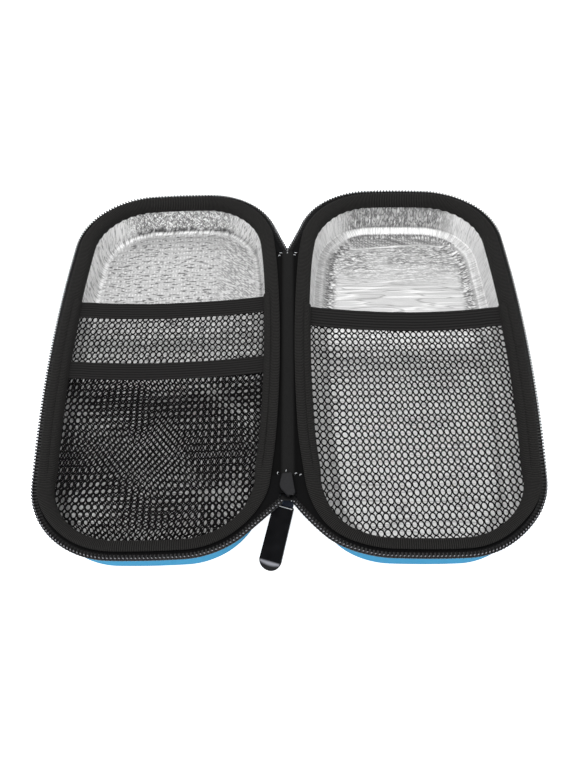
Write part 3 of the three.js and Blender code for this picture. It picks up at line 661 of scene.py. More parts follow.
foilForm = {
    "wallFolds": (2.6, 14.0, 0.3),        # size along the wall, height and push of its upright folds
    "wallCreases": (1.3, 6.0, 0.2),
    "kept": (20.0, 34.0),                 # between these the nets begin to keep hands off the film
    "farCreases": (54.0, 76.0),           # between these the floor passes from under the nets to beyond them
    "recess": {      # the right floor slopes up to its far step, with a round end towards the spine
        "depth": 7.6, "taper": 0.09, "taperFrom": -13.0, "roundFrom": -14.0, "round": 11.0,
        "fade": (34.0, 20.0), "rise": 1.4, "sideRise": 1.5},
}
foilLightAndShade = {      # painted light and shade that each zone adds to the film's tone of one: lighter walls and film under the nets, painted shade on the floor beyond the nets, in the recess, at the wall's foot and on the ledge and sill
    "right": {"wall": 0.12, "keptFloor": -0.16, "recess": -0.15, "foot": -0.6, "ledge": -0.18,
              "floorUnderNets": 0.3, "wallUnderNets": 0.35, "footHeight": 0.5},
    "left": {"wall": 0.12, "keptFloor": -0.2, "sill": -0.3, "foot": -0.9, "ledge": -0.4,
             "floorUnderNets": 0.35, "footHeight": 0.8},
}


def farStraight(x, y):
    # one along the far end, none round its corners and elsewhere
    turn = turnOf(edgeFrame(x, y)[1])
    return smoothStep(cornerEnd - 0.8, cornerEnd - 0.2, turn) if y > 0 else 0.0


def recessDepth(x, y):
    form = foilForm["recess"]
    if y <= 0:
        return 0.0
    roundEnd = math.sqrt(max(0.0, 1.0 - (max(0.0, form["roundFrom"] - x) / form["round"]) ** 2))
    return (form["depth"] - form["taper"] * (x - form["taperFrom"])) * roundEnd * smoothStep(*form["fade"], x)


def foilShift(label, place):
    x, y, z = place
    inset, normal = edgeFrame(x, y)
    profile = linerProfile(label, 0.0, linerForm["top"])
    wallLevel, bevelInset = profile[1][1], profile[2][0]
    onWall = smoothStep(wallLevel - 0.6, wallLevel + 0.6, z)
    onFloor = smoothStep(bevelInset - 0.5, bevelInset + 1.5, inset)
    fold, foldHeight, foldPush = foilForm["wallFolds"]
    crease, creaseHeight, creasePush = foilForm["wallCreases"]
    out = foldPush * noiseAt(x / fold, y / fold, z / foldHeight)
    out += creasePush * noiseAt(x / crease, y / crease, z / creaseHeight + 7.0)
    out *= onWall * smoothStep(linerForm["top"], -5.0, z)
    shift = Vector((normal.x * out, normal.y * out, 0.0))
    if onFloor > 0:
        shift.z += onFloor * floorWave(label, x, y, inset - bevelInset)
    elif onWall < 1:
        shift.z += (1 - onWall) * 0.08 * noiseAt(x / 3.0, y / 3.0, 3.0)
    return shift


def floorWave(label, x, y, depth):
    # left: specks and slanted creases; right: long streaks, slanted creases by its foot and the recess's slope
    drift = noiseAt(x / 40.0, y / 40.0, 1.0)
    if label == "left":
        speckle = noiseAt(x / 1.5, y / 1.1, 4.0)
        slanted = noiseAt((x + y) / 1.6, (x - y) / 6.0, 2.0)
        sideways = smoothStep(20.0, 6.0, depth) if x < 0 else 0.0
        return 0.13 * speckle * (1 - 0.5 * sideways) + 0.2 * slanted * sideways + 0.2 * drift
    streak = noiseAt(x / 60.0 + 0.4 * drift, y / 4.2 + 1.2 * drift, 5.0)
    ridge = max(0.0, 1.0 - abs(streak) * 9.0) ** 2
    slanted = noiseAt((x + y) / 1.5, (x - y) / 7.0, 9.0)
    wave = 0.22 * ridge + 0.14 * smoothStep(10.0, 3.0, depth) * slanted + 0.25 * drift
    reach = recessDepth(x, y)
    if reach > 0.5:
        wave += foilForm["recess"]["rise"] * max(0.0, 1.0 - depth / reach)
    # the step runs out at the sides
    return wave + foilForm["recess"]["sideRise"] * (1 - farStraight(x, y)) * smoothStep(4.5, 0.5, depth)


def foilLook(label, x, y, z):
    # how much of the floor's creasing, the painted light and shade on the film and how finely it is crinkled
    tones = foilLightAndShade[label]
    profile = linerProfile(label, 0.0, linerForm["top"])
    wallInset, wallLevel = profile[1]
    bevelInset, floorInset = profile[2][0], profile[-1][0]
    inset = edgeFrame(x, y)[0]
    depth, straight = inset - bevelInset, farStraight(x, y)
    ledge = smoothStep(wallInset - 0.2, wallInset + 0.6, inset) * smoothStep(0.4, -0.4, depth)
    wall = smoothStep(wallLevel - 0.4, wallLevel + 0.2, z)
    floorShare = smoothStep(floorInset - 3.0, floorInset, inset)
    foot = math.exp(-((z - wallLevel - 0.2) / tones["footHeight"]) ** 2) * straight
    kept = smoothStep(*foilForm["kept"], y)
    underNets = 1 - kept
    # the film's painted light and shade, zone by zone
    paintedLight = 1.0 + tones["wall"] * wall
    if label == "right":
        reach = recessDepth(x, y)
        recess = smoothStep(-0.2, 0.4, depth) * smoothStep(0.2, -0.3, depth - reach)
        fold = math.exp(-((depth - reach - 0.5) / 0.45) ** 2) if reach > 3.0 else 0.0
        border = smoothStep(6.0, 1.5, inset - floorInset) * floorShare * (0.25 + 0.75 * kept)
        farFloor = smoothStep(*foilForm["farCreases"], y) * floorShare
        farFloor *= 0.6 + 0.5 * noiseAt(x / 14.0, y / 6.0, 4.0)
        bend = ledge * (1 - straight)
        crinkle = max(wall * straight, recess, border, farFloor, 0.3 * bend) * (1 - fold)
        paintedLight += tones["keptFloor"] * kept * floorShare * (1 - recess) * (1 - fold)
        paintedLight += tones["recess"] * recess + tones["foot"] * foot + tones["ledge"] * bend * kept
        paintedLight += underNets * (tones["floorUnderNets"] * floorShare + tones["wallUnderNets"] * (1 - floorShare))
        floorShare *= 1 - recess
    else:
        spineSide = smoothStep(-14.0, -26.0, x) * floorShare
        crinkle = max(wall * straight, spineSide)
        sill = smoothStep(0.5, -0.5, abs(depth + 0.6) - 0.8) * max(straight, smoothStep(10.0, -10.0, x))
        dotted = smoothStep(0.38, 0.6, 0.5 + 0.5 * noiseAt(x / 1.1, y / 1.1, 6.0))
        paintedLight += tones["keptFloor"] * kept * floorShare + tones["sill"] * sill + tones["foot"] * foot * dotted
        paintedLight += tones["floorUnderNets"] * underNets * floorShare + tones["ledge"] * ledge * (0.5 + 0.5 * straight)
    return floorShare, max(0.06, paintedLight), min(1.0, crinkle)


def makeLiner(label):
    profile = densify(linerProfile(label, 0.0, linerForm["top"]), 0.75)
    piece = sweep(label + "_foil_skin", ringPath(1.05), profile, True, False)
    fillFloor(piece, profile[-1][1])
    looks = zip(*(foilLook(label, *v.co) for v in piece.data.vertices))
    for name, values in zip(("floorShare", "paintedLight", "crinkle"), looks):
        markPoints(piece, name, values)
    for vertex in piece.data.vertices:
        vertex.co += foilShift(label, vertex.co)
    piece.data.flip_normals()
    thicken(piece, linerForm["film"])
    return piece


# Binding: a crowned band round the rim, with a lip that turns down into the opening

bandForm = {
    "top": [(2.95, -1.35), (2.8, -0.9), (3.05, -0.45), (3.8, -0.1), (4.8, 0.0), (6.0, -0.08), (7.2, -0.3),
            (8.3, -0.75), (9.1, -1.5), (9.55, -2.6), (9.72, -4.2)],
    "under": [(9.68, -4.42), (9.4, -4.45), (9.22, -4.3), (8.9, -2.45), (6.6, -1.45)],
    "sewn": {"drop": 0.62, "from": 5.6, "full": 7.3, "until": 9.0, "gone": 9.9},     # drop and insets
    "plain": (-76.0, -62.0),         # the hem tucks under the band towards the near end
    "nearSetIn": 1.1,
    "scallop": (0.32, 4.6),          # height and pitch of the waves in the far corners
    "swell": (0.1, 9.0),             # height and size of the unevenness along the crown
    "lipWave": 0.12,
}
mouths = {
    "right": {"sideY": 27.8, "sag": 3.7, "width": 12.0},
    "left_upper": {"sideY": 35.0, "sag": 2.7, "width": 10.0},
    "left_lower": {"sideY": -2.2, "sag": 2.6, "width": 10.0},
}


def makeBinding(label, hemY):
    section = throughPoints(bandForm["top"], 3) + bandForm["under"]
    piece = sweep(label + "_grosgrain_binding", ringPath(1.0), section)
    height, pitch = bandForm["scallop"]
    swell, swellSize = bandForm["swell"]
    sewn = bandForm["sewn"]
    for vertex in piece.data.vertices:
        x, y, z = vertex.co
        inset, normal = edgeFrame(x, y)
        if z > -2.5 and inset > sewn["from"]:
            along = smoothStep(hemY + 5.0, hemY - 1.0, y) * smoothStep(*bandForm["plain"], y)
            across = smoothStep(sewn["from"], sewn["full"], inset)
            if inset >= sewn["until"]:
                across *= smoothStep(sewn["gone"], sewn["until"], inset)
            vertex.co.z -= sewn["drop"] * along * across
        pushOut(vertex, -bandForm["nearSetIn"] * smoothStep(-72.0, -98.0, y) * smoothStep(6.5, 3.2, inset))
        vertex.co.z += swell * noiseAt(x / swellSize, y / swellSize, 2.0) * smoothStep(-2.0, -0.5, z)
        if y > 0 and z < -2.0:
            turn = turnOf(normal)
            inCorner = smoothStep(sideEnd, sideEnd + 0.25, turn)
            inCorner *= smoothStep(cornerEnd + 0.02, cornerEnd - 0.15, turn)
            wave = height * math.sin(turn * 30.0 / pitch * 2 * math.pi) * inCorner
            wave += bandForm["lipWave"] * noiseAt(x / 2, y / 2, 8)
            vertex.co.z += smoothStep(-2.0, -4.4, z) * wave
    return piece


hemForm = {
    "section": [(7.2, -1.0), (7.15, -0.62), (7.5, -0.3), (8.3, -0.32), (9.2, -0.75), (9.85, -1.5),
                (10.2, -2.4), (10.42, -3.4), (10.5, -4.3), (10.25, -4.45), (10.0, -4.3), (9.85, -3.0),
                (9.4, -1.9), (8.4, -1.2)],
    "endDrop": 0.35, "tuckOut": 1.15, "tuckDrop": 0.6, "pucker": (0.07, 6.0),
}


def makeHem(label, hemY):
    start = math.asin(hemY / case["sideBow"])
    angles, _ = evenAngles(-math.pi - start, start, 1.0)
    rail = [(*edgePoint(a), 0.0) for a in angles]
    piece = sweep(label + "_hem_tape", rail, hemForm["section"], closedPath=False)
    pucker, puckerSize = hemForm["pucker"]
    for vertex in piece.data.vertices:
        x, y, z = vertex.co
        tucked = 1 - smoothStep(*bandForm["plain"], y)
        vertex.co.z -= hemForm["endDrop"] * smoothStep(hemY - 6.0, hemY, y) * smoothStep(-2.0, -0.6, z)
        pushOut(vertex, hemForm["tuckOut"] * tucked)
        vertex.co.z += pucker * noiseAt(x / puckerSize, y / puckerSize, 5.0) * smoothStep(-2.5, -1.0, z)
        vertex.co.z -= hemForm["tuckDrop"] * tucked
    return piece


# Zip: tape and coil from the far end of the spine round the outside to its near end

zipForm = {
    "farY": 62.8, "nearY": -80.8, "halfSlit": 0.2, "tapeInset": 2.7, "tapeTuck": 4.2, "tapeEndY": -69.3,
    "tapeTop": -1.7, "tape": 0.5, "mid": -1.95, "pitch": 1.64, "wire": 0.4, "headWidth": 1.45, "tiltDeg": 2.0,
    "startSetBack": 2.6, "farStartSetBack": 0.7,
    # the cord that the coil is wound on, which fills it; away from the near end the heads stand clear of it
    "core": {"thickness": 0.5, "outer": 0.38, "inner": 2.9, "sink": 0.01, "outerSink": 0.31},
    "bareHeads": {"from": -82.0, "to": -50.0, "set": 0.52, "slimmer": 0.22},
    "farPush": {"from": 70.0, "to": 95.0, "right": 1.0, "left": 0.2},      # the far edge of a half bows out
    "loop": [      # a turn of the coil, out to its head and back under the tape; x along the zip, y outwards
        (-0.3, -3.0, 0.4), (-0.2, -2.0, 0.52), (-0.1, -1.3, 0.53), (-0.05, -0.95, 0.52), (-0.02, -0.7, 0.46),
        (0.0, -0.5, 0.36), (0.02, -0.4, 0.06), (0.1, -0.5, -0.24), (0.3, -1.0, -0.4), (0.6, -2.0, -0.4),
        (0.85, -3.0, -0.36)],
}


def zipEnd(y):
    apex = Vector((zipForm["halfSlit"] - case["centreX"], y))
    way = math.copysign(1.0, y)
    reach = apex - Vector((-cornerCentre.x, way * cornerCentre.y))
    angle = math.atan2(reach.y, reach.x) % (2 * math.pi) - way * math.acos(case["corner"] / reach.length)
    return {"apex": apex, "angle": angle, "touch": edgePoint(angle)}


farEnd, nearEnd = zipEnd(zipForm["farY"]), zipEnd(zipForm["nearY"])


def zipPlaces(pitch, farSetBack, nearSetBack):
    # points of the zip's outer edge and outward normals, evenly spaced, from near to far
    line = []
    for end, setBack, forward in ((nearEnd, nearSetBack, True), (farEnd, farSetBack, False)):
        run = end["touch"] - end["apex"]
        normal = Vector((math.cos(end["angle"]), math.sin(end["angle"])))
        count = int((run.length - setBack) / 0.5)
        part = [(end["apex"] + run * ((setBack + i * (run.length - setBack) / count) / run.length), normal)
                for i in range(count)]
        line.append(part if forward else part[::-1])
    angles, _ = evenAngles(nearEnd["angle"] - 2 * math.pi, farEnd["angle"], 0.5)
    round_ = [(edgePoint(a), Vector((math.cos(a), math.sin(a)))) for a in angles]
    line = line[0] + round_ + line[1]
    lengths = distancesAlong([point for point, _ in line])
    count = int(lengths[-1] / pitch)
    table = np.array([[*point, *normal] for point, normal in line])
    places = []
    for at in np.linspace(0, lengths[-1], count + 1):
        row = [np.interp(at, lengths, table[:, k]) for k in range(4)]
        places.append((Vector(row[:2]), Vector(row[2:]).normalized()))
    return places


def makeTooth():
    tooth = bendWire("coil_turn", zipForm["loop"], zipForm["wire"], 0)
    for vertex in tooth.data.vertices:     # the head is pressed wider than the wire
        if vertex.co.y > -0.95:
            vertex.co.x *= zipForm["headWidth"]
    closeAndFaceOut(tooth)
    points = [v.co for v in tooth.data.vertices]
    # a painted glint along the top of each head
    markPoints(tooth, "paintedGlint", [smoothStep(0.86, 0.91, z) * smoothStep(-1.2, -1.0, y) for _, y, z in points])
    return tooth


def copies(name, pattern, matrices):
    # one mesh holding a copy of the pattern at each matrix
    points = np.array([v.co for v in pattern.data.vertices])
    faces = [tuple(p.vertices) for p in pattern.data.polygons]
    rows, shapes = [], []
    for i, matrix in enumerate(matrices):
        m = np.array(matrix)
        rows.append(points @ m[:3, :3].T + m[:3, 3])
        shapes += [tuple(v + i * len(points) for v in face) for face in faces]
    data = bpy.data.meshes.new(name)
    data.from_pydata(np.concatenate(rows).tolist(), [], shapes)
    piece = newObject(name, data)
    if "paintedGlint" in pattern.data.attributes:
        glints = [item.value for item in pattern.data.attributes["paintedGlint"].data]
        markPoints(piece, "paintedGlint", glints * len(matrices))
    return piece


def alongEdge(point, normal, level, tiltDeg=0.0):
    tangent = Vector((-normal.y, normal.x, 0.0))
    basis = Matrix((tangent, (*normal, 0.0), (0, 0, 1))).transposed().to_4x4()
    tilt = Matrix.Rotation(math.radians(-tiltDeg), 4, "X")
    return Matrix.Translation((point.x, point.y, level)) @ basis @ tilt


def makeTeeth(label, tooth):
    core, bareHeads, farPush = zipForm["core"], zipForm["bareHeads"], zipForm["farPush"]
    mid, half = zipForm["mid"], core["thickness"] / 2
    matrices, rows = [], []
    for point, normal in zipPlaces(zipForm["pitch"], zipForm["farStartSetBack"], zipForm["startSetBack"]):
        bare = smoothStep(bareHeads["from"], bareHeads["to"], point.y)
        head = point + normal * farPush[label] * smoothStep(farPush["from"], farPush["to"], point.y)
        slimmer = Matrix.Diagonal((1 - bareHeads["slimmer"] * bare, 1, 1, 1))
        matrices.append(alongEdge(head, normal, mid, zipForm["tiltDeg"]) @ slimmer)
        outer = head - normal * (core["outer"] + bareHeads["set"] * bare)
        inner = point - normal * core["inner"]
        low, high = mid - core["outerSink"], mid - core["sink"]
        rows.append([(*outer, low + half), (*inner, high + half),
                     (*inner, high - half), (*outer, low - half)])
    coil = copies(label + "_zip_coil", tooth, matrices)
    return joinPieces(label + "_zip_coil", [coil, skin(label + "_coil_core", rows)])


def makeZipTape(label):
    outerInset, under = zipForm["tapeInset"], zipForm["tapeInset"] + zipForm["tapeTuck"]
    top, low = zipForm["tapeTop"], zipForm["tapeTop"] - zipForm["tape"]

    def strip(outer, inner):
        return [(*outer, top), (*inner, top), (*inner, low), (*outer, low)]

    def sideAngle(y):
        return math.pi - math.asin(y / (case["sideBow"] - under))

    def vee(end, setBack):
        rows = []
        for i in range(10):
            share = i / 10
            angle = sideAngle(end["apex"].y) * (1 - share) + end["angle"] * share
            normal = Vector((math.cos(end["angle"]), math.sin(end["angle"])))
            run = end["touch"] - end["apex"]
            outer = end["apex"] - normal * outerInset + run * max(share, setBack / run.length)
            rows.append(strip(outer, edgePoint(angle, under)))
        return rows

    angles, _ = evenAngles(nearEnd["angle"] - 2 * math.pi, farEnd["angle"], 2.0)
    rows = vee(farEnd, zipForm["farStartSetBack"])
    rows += [strip(edgePoint(a, outerInset), edgePoint(a, under)) for a in angles[::-1]]
    rows += vee(nearEnd, zipForm["startSetBack"])[::-1]
    last = zipForm["tapeEndY"]
    rows.append(strip(Vector((4.2 - case["centreX"], last)), edgePoint(sideAngle(last), under)))
    return skin(label + "_woven_tape", rows)


# Pockets: nets of knitted rings, and a ribbed elastic across each mouth

netForm = {
    "pitch": (2.76, 3.75), "hole": (0.96, 1.56), "outer": (1.41, 1.91), "squareness": 2.3, "thickness": 0.42,
    "columns": range(-26, 27), "rows": range(-34, 17),      # enough to fill the largest pocket
    "inset": 9.25, "mouthLap": 4.0, "sag": 0.6, "hangFrom": 14.0,
    "fold": (0.3, 16.0, 40.0),      # height, width and length of its soft folds
    "drift": ((0.55, 14.0), (0.6, 15.0)),      # how far its rows and columns wander, and over what size
}


def makeRing():
    # one mesh opening: a band between an oval hole and a fuller outside that meets its neighbours
    bpy.ops.mesh.primitive_torus_add(major_segments=14, minor_segments=4, major_radius=1.0, minor_radius=0.25)
    ring = bpy.context.object
    half = netForm["thickness"] / 2
    power = netForm["squareness"]
    for vertex in ring.data.vertices:
        flat = Vector((vertex.co.x, vertex.co.y))
        turn = math.atan2(flat.y, flat.x)
        # a square band, with corners up and down
        round_ = math.atan2(vertex.co.z, flat.length - 1.0) + math.pi / 4
        cosine, sine = math.cos(turn), math.sin(turn)
        if math.cos(round_) > 0:
            reach = (abs(cosine) ** power + abs(sine) ** power) ** (-1 / power)
            wide, long = netForm["outer"]
        else:
            reach = 1.0
            wide, long = netForm["hole"]
        vertex.co = (wide * cosine * reach, long * sine * reach, math.copysign(half, math.sin(round_)))
    return ring


def mouthY(mouth, x):
    half = halfWidthAt(mouth["sideY"], netForm["inset"])
    return mouth["sideY"] - mouth["sag"] * (1 - (x / half) ** 2)


def makeNet(name, ring, mouth, level, slant, turnDeg, offset):
    pitchX, pitchY = netForm["pitch"]
    turned = Matrix.Rotation(math.radians(turnDeg), 4, "Z")
    centres = []
    for column in netForm["columns"]:
        for row in netForm["rows"]:
            x, y, _ = turned @ Vector((column * pitchX + offset[0], row * pitchY + offset[1], 0.0))
            if edgeFrame(x, y)[0] > netForm["inset"] - 0.6 and y < mouthY(mouth, x) - netForm["mouthLap"]:
                centres.append(Matrix.Translation((x, y, 0)) @ turned)
    piece = copies(name, ring, centres)
    for vertex in piece.data.vertices:
        x, y, _ = vertex.co
        inset = edgeFrame(x, y)[0]
        if inset < netForm["inset"]:       # the cut edge is sewn down under the hem
            pushOut(vertex, inset - netForm["inset"])
        hang = smoothStep(netForm["inset"], netForm["inset"] + netForm["hangFrom"], inset)
        height, width, length = netForm["fold"]
        fold = height * noiseAt((x + slant * y) / width, (y - slant * x) / length, level)
        (driftX, sizeX), (driftY, sizeY) = netForm["drift"]
        vertex.co.x += driftX * noiseAt(x / sizeX, y / sizeX, level + 3.0) * hang
        vertex.co.y += driftY * noiseAt(x / sizeY, y / sizeY, level + 6.0) * hang
        vertex.co.z += level - netForm["sag"] * hang + fold * hang
    return piece


elasticForm = {
    "thickness": 1.0, "ribs": 7, "ribHeight": 0.16, "top": -3.4, "endInset": 9.1, "steps": 90,
    "pull": (0.22, 7.0), "lift": (0.12, 8.0, 5.0),      # how it wanders, sideways and up, and over what sizes
}


def makeElasticStrap(name, mouth):
    half = halfWidthAt(mouth["sideY"], elasticForm["endInset"])
    width, thick, ribs = mouth["width"], elasticForm["thickness"], elasticForm["ribs"]
    path = []
    for i in range(elasticForm["steps"] + 1):
        x = -half + 2 * half * i / elasticForm["steps"]
        path.append((x, mouthY(mouth, x) - width / 2, elasticForm["top"] - thick / 2))
    across = []
    for i in range(ribs * 6 + 1):
        share = i / (ribs * 6)
        edge = math.sin(math.pi * share) ** 0.25 if 0 < share < 1 else 0.0
        rib = elasticForm["ribHeight"] * (abs(math.sin(math.pi * share * ribs)) ** 0.7 - 1)
        across.append(((share - 0.5) * width, (thick / 2 + rib) * edge))
    section = across + [(x, -y) for x, y in across[::-1] if abs(x) < width / 2]
    piece = sweep(name, path, section, closedPath=False)
    # across each rib, for the painted shade in the grooves between the ribs
    shares = [(v.co.y - mouthY(mouth, v.co.x)) / width for v in piece.data.vertices]
    markPoints(piece, "rib", [abs(math.sin(math.pi * share * ribs)) for share in shares])
    pull, pullSize = elasticForm["pull"]
    lift, liftLength, liftWidth = elasticForm["lift"]
    for vertex in piece.data.vertices:
        x, y, _ = vertex.co
        vertex.co.y += pull * noiseAt(x / pullSize, 0.0, 1.0)
        vertex.co.z += lift * noiseAt(x / liftLength, y / liftWidth, 2.0)
    return piece


# Build both halves

# As it lies open each soft half has settled a little: pushes as (place, push, reach), the side by the spine
# inwards and the near end outwards; the foot of the left shell's near wall stands out
settled = {
    "right": {
        "pushes": [((-43.0, -97.0), (-1.4, -1.42), 16.0), ((43.0, -98.0), (-0.8, 0.78), 18.0)],
        "inner": 1.6, "end": 0.5},
    "left": {"pushes": [], "inner": 0.8, "end": 0.0, "foot": 0.8},
}


def settle(label, piece, share=1.0):
    form = settled[label]
    for vertex in piece.data.vertices:
        x, y, _ = vertex.co
        inner = smoothStep(-28.0, -42.0, x) * smoothStep(-85.0, -45.0, y) * smoothStep(92.0, 55.0, y)
        shift = Vector((-form["inner"] * inner, -form["end"] * smoothStep(-60.0, -95.0, y)))
        for place, push, reach in form["pushes"]:
            apart = (Vector((x, y)) - Vector(place)).length / reach
            shift += Vector(push) * math.exp(-apart ** 2) * smoothStep(-57.0, -50.0, x)
        vertex.co.x += shift.x * share
        vertex.co.y += shift.y * share
    return piece


def fillFoot(piece):
    # the left shell's near wall stands a little further out below the zip
    for vertex in piece.data.vertices:
        _, y, z = vertex.co
        vertex.co.y -= settled["left"]["foot"] * smoothStep(-60.0, -95.0, y) * smoothStep(-2.5, -8.0, z)
    return piece


tooth = makeTooth()
ring = makeRing()
hemMouth = {"right": "right", "left": "left_upper"}
for label, side in sides.items():
    place, body = halfMatrix(side), label + "_half"
    hemY = mouths[hemMouth[label]]["sideY"]
    made = [       # piece, finish, slot, the node that it replaces and how much it settles
        (makeShell(label), "eva", "blue_shell", "_shell", 0.6),
        (makeFoamPadding(label), "foam", "insulation_foam", "_insulation_foam", 0.6),
        (makeLiner(label), label + "Foil", "foil_liner", "_foil_liner", 0.9),
        (makeBinding(label, hemY), "grosgrain", "woven_binding", "_rim_binding", 1.0),
        (makeHem(label, hemY), "grosgrain", "woven_binding", "_pocket_hem", 1.0),
        (makeZipTape(label), "zipTape", "zip_tape", "_zip_tape", 1.0),
        (makeTeeth(label, tooth), "nylon", "zip_teeth", "_zip_teeth", 1.0),
    ]
    if label == "left":
        fillFoot(made[0][0])
    for piece, finish, slot, node, share in made:
        settle(label, piece, share)
        finishPiece(piece, finishes[finish], body, [label + node], place)
    print(label, "half made")

pockets = [        # name, half, mouth, the net's level, slant and turn, and where its rows begin
    ("right_pocket", "right", "right", -4.95, 0.0, 2.0, (0.0, 0.0)),
    ("left_upper_pocket", "left", "left_upper", -5.75, 0.5, 0.9, (1.4, 1.9)),
    ("left_lower_pocket", "left", "left_lower", -4.95, 0.3, -2.2, (0.0, 0.0)),
]
for name, label, mouthName, *lay in pockets:
    mouth, place, body = mouths[mouthName], halfMatrix(sides[label]), label + "_half"
    net = settle(label, makeNet(name + "_knitted_net", ring, mouth, *lay))
    finishPiece(net, finishes["yarn"], body, [name + "_net"], place, 180)
    strap = settle(label, makeElasticStrap(name + "_ribbed_elastic", mouth))
    finishPiece(strap, finishes["elastic"], body, [name + "_elastic"], place)
bpy.data.objects.remove(ring)
print("pockets made")


# Spine: a soft strip inside, a strip outside, and the stitches at both ends

spineForm = {
    "near": -69.3, "far": 62.3, "under": 6.9, "thickness": 0.5,
    "outerInset": 3.1, "outerLevel": -2.7, "outerEdge": 0.7,      # the last is how thick its edges still are
    "inner": [        # half of its profile, from the crown over the groove to where it goes on to the edge
        (0.0, -0.82), (0.9, -0.86), (2.0, -1.08), (2.7, -1.55), (3.3, -2.1), (3.9, -2.1), (5.0, -1.75)],
    "edgeLevel": -1.7, "ripple": 0.08, "innerSteps": 70, "outerSteps": 50,
}
stitchForm = {
    "path": [(-0.42, 0.0, -0.25), (-0.3, 0.0, 0.05), (0.0, 0.0, 0.16), (0.3, 0.0, 0.05), (0.42, 0.0, -0.25)],
    "radius": 0.2, "crownLevel": -0.75, "sideLevel": -1.6,
    # at each end its place along the spine, and each stitch across, along and turned
    "far": (60.2, [(-4.4, 0.0, 0.3), (-0.3, 0.9, 1.4), (3.2, 0.2, -0.3)]),
    "near": (-67.8, [(-4.4, -0.2, 1.2), (-0.8, 0.2, 1.3), (3.3, -0.6, 0.4), (5.2, -1.3, 0.5)]),
}


def spineHalf(y, inset):
    bow = case["sideBow"] - math.sqrt(case["sideBow"] ** 2 - y * y)
    return case["centreX"] - case["halfWidth"] / 2 + bow + inset


def spinePoint(x, y, level):
    lean = math.radians(case["leanDeg"]) * (1 - smoothStep(-1.5, 1.5, x))
    point = Matrix.Rotation(-lean, 4, "Y") @ Vector((x, y, level - case["crownGap"]))
    return (point.x, point.y, point.z + case["hingeHeight"])


def spineRows(steps, profile):
    # the points round a strip at each step from its near end to its far one
    rows = []
    for i in range(steps + 1):
        y = spineForm["near"] + (spineForm["far"] - spineForm["near"]) * i / steps
        top = profile(y)
        low = [(x, z - thickness, thickness) for x, z, thickness in top[::-1]]
        rows.append([spinePoint(x, y, z) for x, z, _ in top + low])
    return rows


def innerProfile(y):
    # across, level and thickness
    ripple = spineForm["ripple"] * noiseAt(0.0, y / 11.0, 0.0)
    right = [(x, z + ripple if x < 1.0 else z) for x, z in spineForm["inner"]]
    right.append((spineHalf(y, spineForm["under"]), spineForm["edgeLevel"]))
    whole = [(-x, z) for x, z in right[:0:-1]] + right
    return [(x, z, spineForm["thickness"]) for x, z in whole]


def outerProfile(y):
    edge, level, thickness = spineHalf(y, spineForm["outerInset"]), spineForm["outerLevel"], spineForm["thickness"]
    thin = thickness * spineForm["outerEdge"]
    return [(-edge, level, thin), (-edge * 0.5, level, thickness), (0.0, level, thickness),
            (edge * 0.5, level, thickness), (edge, level, thin)]


def makeSpineInner():
    piece = skin("spine_lining", spineRows(spineForm["innerSteps"], innerProfile))
    # lighter on the crown, painted shade in the grooves
    markPoints(piece, "lit_crown", [smoothStep(3.1, 2.2, abs(v.co.x)) for v in piece.data.vertices])
    return piece


def makeSpineOuter():
    return skin("spine_cover", spineRows(spineForm["outerSteps"], outerProfile))


def makeStitches(end):
    y, places = stitchForm[end]
    stitch = bendWire(end + "_stitches_one", stitchForm["path"], stitchForm["radius"], 2)
    closeAndFaceOut(stitch)
    matrices = []
    for x, dy, turn in places:
        level = stitchForm["crownLevel" if abs(x) < 1.5 else "sideLevel"]
        matrices.append(Matrix.Translation(spinePoint(x, y + dy, level)) @ Matrix.Rotation(turn, 4, "Z"))
    piece = copies(end + "_stitches", stitch, matrices)
    bpy.data.objects.remove(stitch)
    return piece


spinePieces = [
    finishPiece(makeSpineInner(), finishes["lining"], None, ["spine_inner_strip"]),
    finishPiece(makeSpineOuter(), finishes["eva"], None, ["spine_outer_strip"]),
    finishPiece(makeStitches("far"), finishes["thread"], None, ["spine_far_thread"]),
    finishPiece(makeStitches("near"), finishes["thread"], None, ["spine_near_thread"]),
]
for piece in spinePieces:
    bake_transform(piece)
print("spine made")


# Slider, the zip's joined end, the link and the tab

sliderForm = {
    "noseY": -80.5, "halfWidth": 3.95, "tailHalf": 2.4, "plate": 0.9, "gap": 1.2,
    "bridgeY": (-78.7, -74.5), "bridgeLow": -6.85, "bridgeHalf": 1.0, "bridgeWire": 1.1,
    "rounding": 0.35, "shieldRise": 0.55,
}
pullForm = {
    "pivot": (-0.5, -76.6, 22.0012), "dropDeg": 39.578, "yawDeg": 18.0, "reach": 33.2,
    "linkHalf": 3.9, "linkLength": 7.4, "linkWindow": (0.6, 2.3),
    "tabStart": 5.0, "tabHead": 4.4, "tabTip": 4.75, "tabThickness": 2.2, "grindSlope": 0.16,
    "highlightX": (5.25, 5.6), "highlightHalf": 4.0,
    "paintedHighlight": (2.5, 4.1),         # from the tip, where a grey highlight is painted on its upper face
}
sliderPlace = (Matrix.Translation((0, 0, case["hingeHeight"]))
               @ Matrix.Rotation(-math.radians(case["leanDeg"]) / 2, 4, "Y")
               @ Matrix.Translation((0, 0, -case["crownGap"])))
pullPlace = (Matrix.Translation(pullForm["pivot"])
             @ Matrix.Rotation(math.radians(-90 - pullForm["yawDeg"]), 4, "Z")
             @ Matrix.Rotation(math.radians(pullForm["dropDeg"]), 4, "Y"))


def plate(name, loops, low, high, rounding, steps=3):
    # a flat plate with rounded edges, from its outline and any windows
    sheet = polyCurve(name, loops, True, True)
    sheet.data.fill_mode = "BOTH"
    sheet.data.extrude = (high - low) / 2 - rounding
    sheet.data.bevel_depth = rounding
    sheet.data.bevel_resolution = steps
    sheet.data.offset = -rounding
    piece = toMesh(sheet)
    piece.data.transform(Matrix.Translation((0, 0, (low + high) / 2)))
    closeAndFaceOut(piece)
    return piece


def arc(cx, cy, radius, start, end, steps):
    turns = [math.radians(start + (end - start) * i / steps) for i in range(steps + 1)]
    return [(cx + radius * math.cos(turn), cy + radius * math.sin(turn)) for turn in turns]


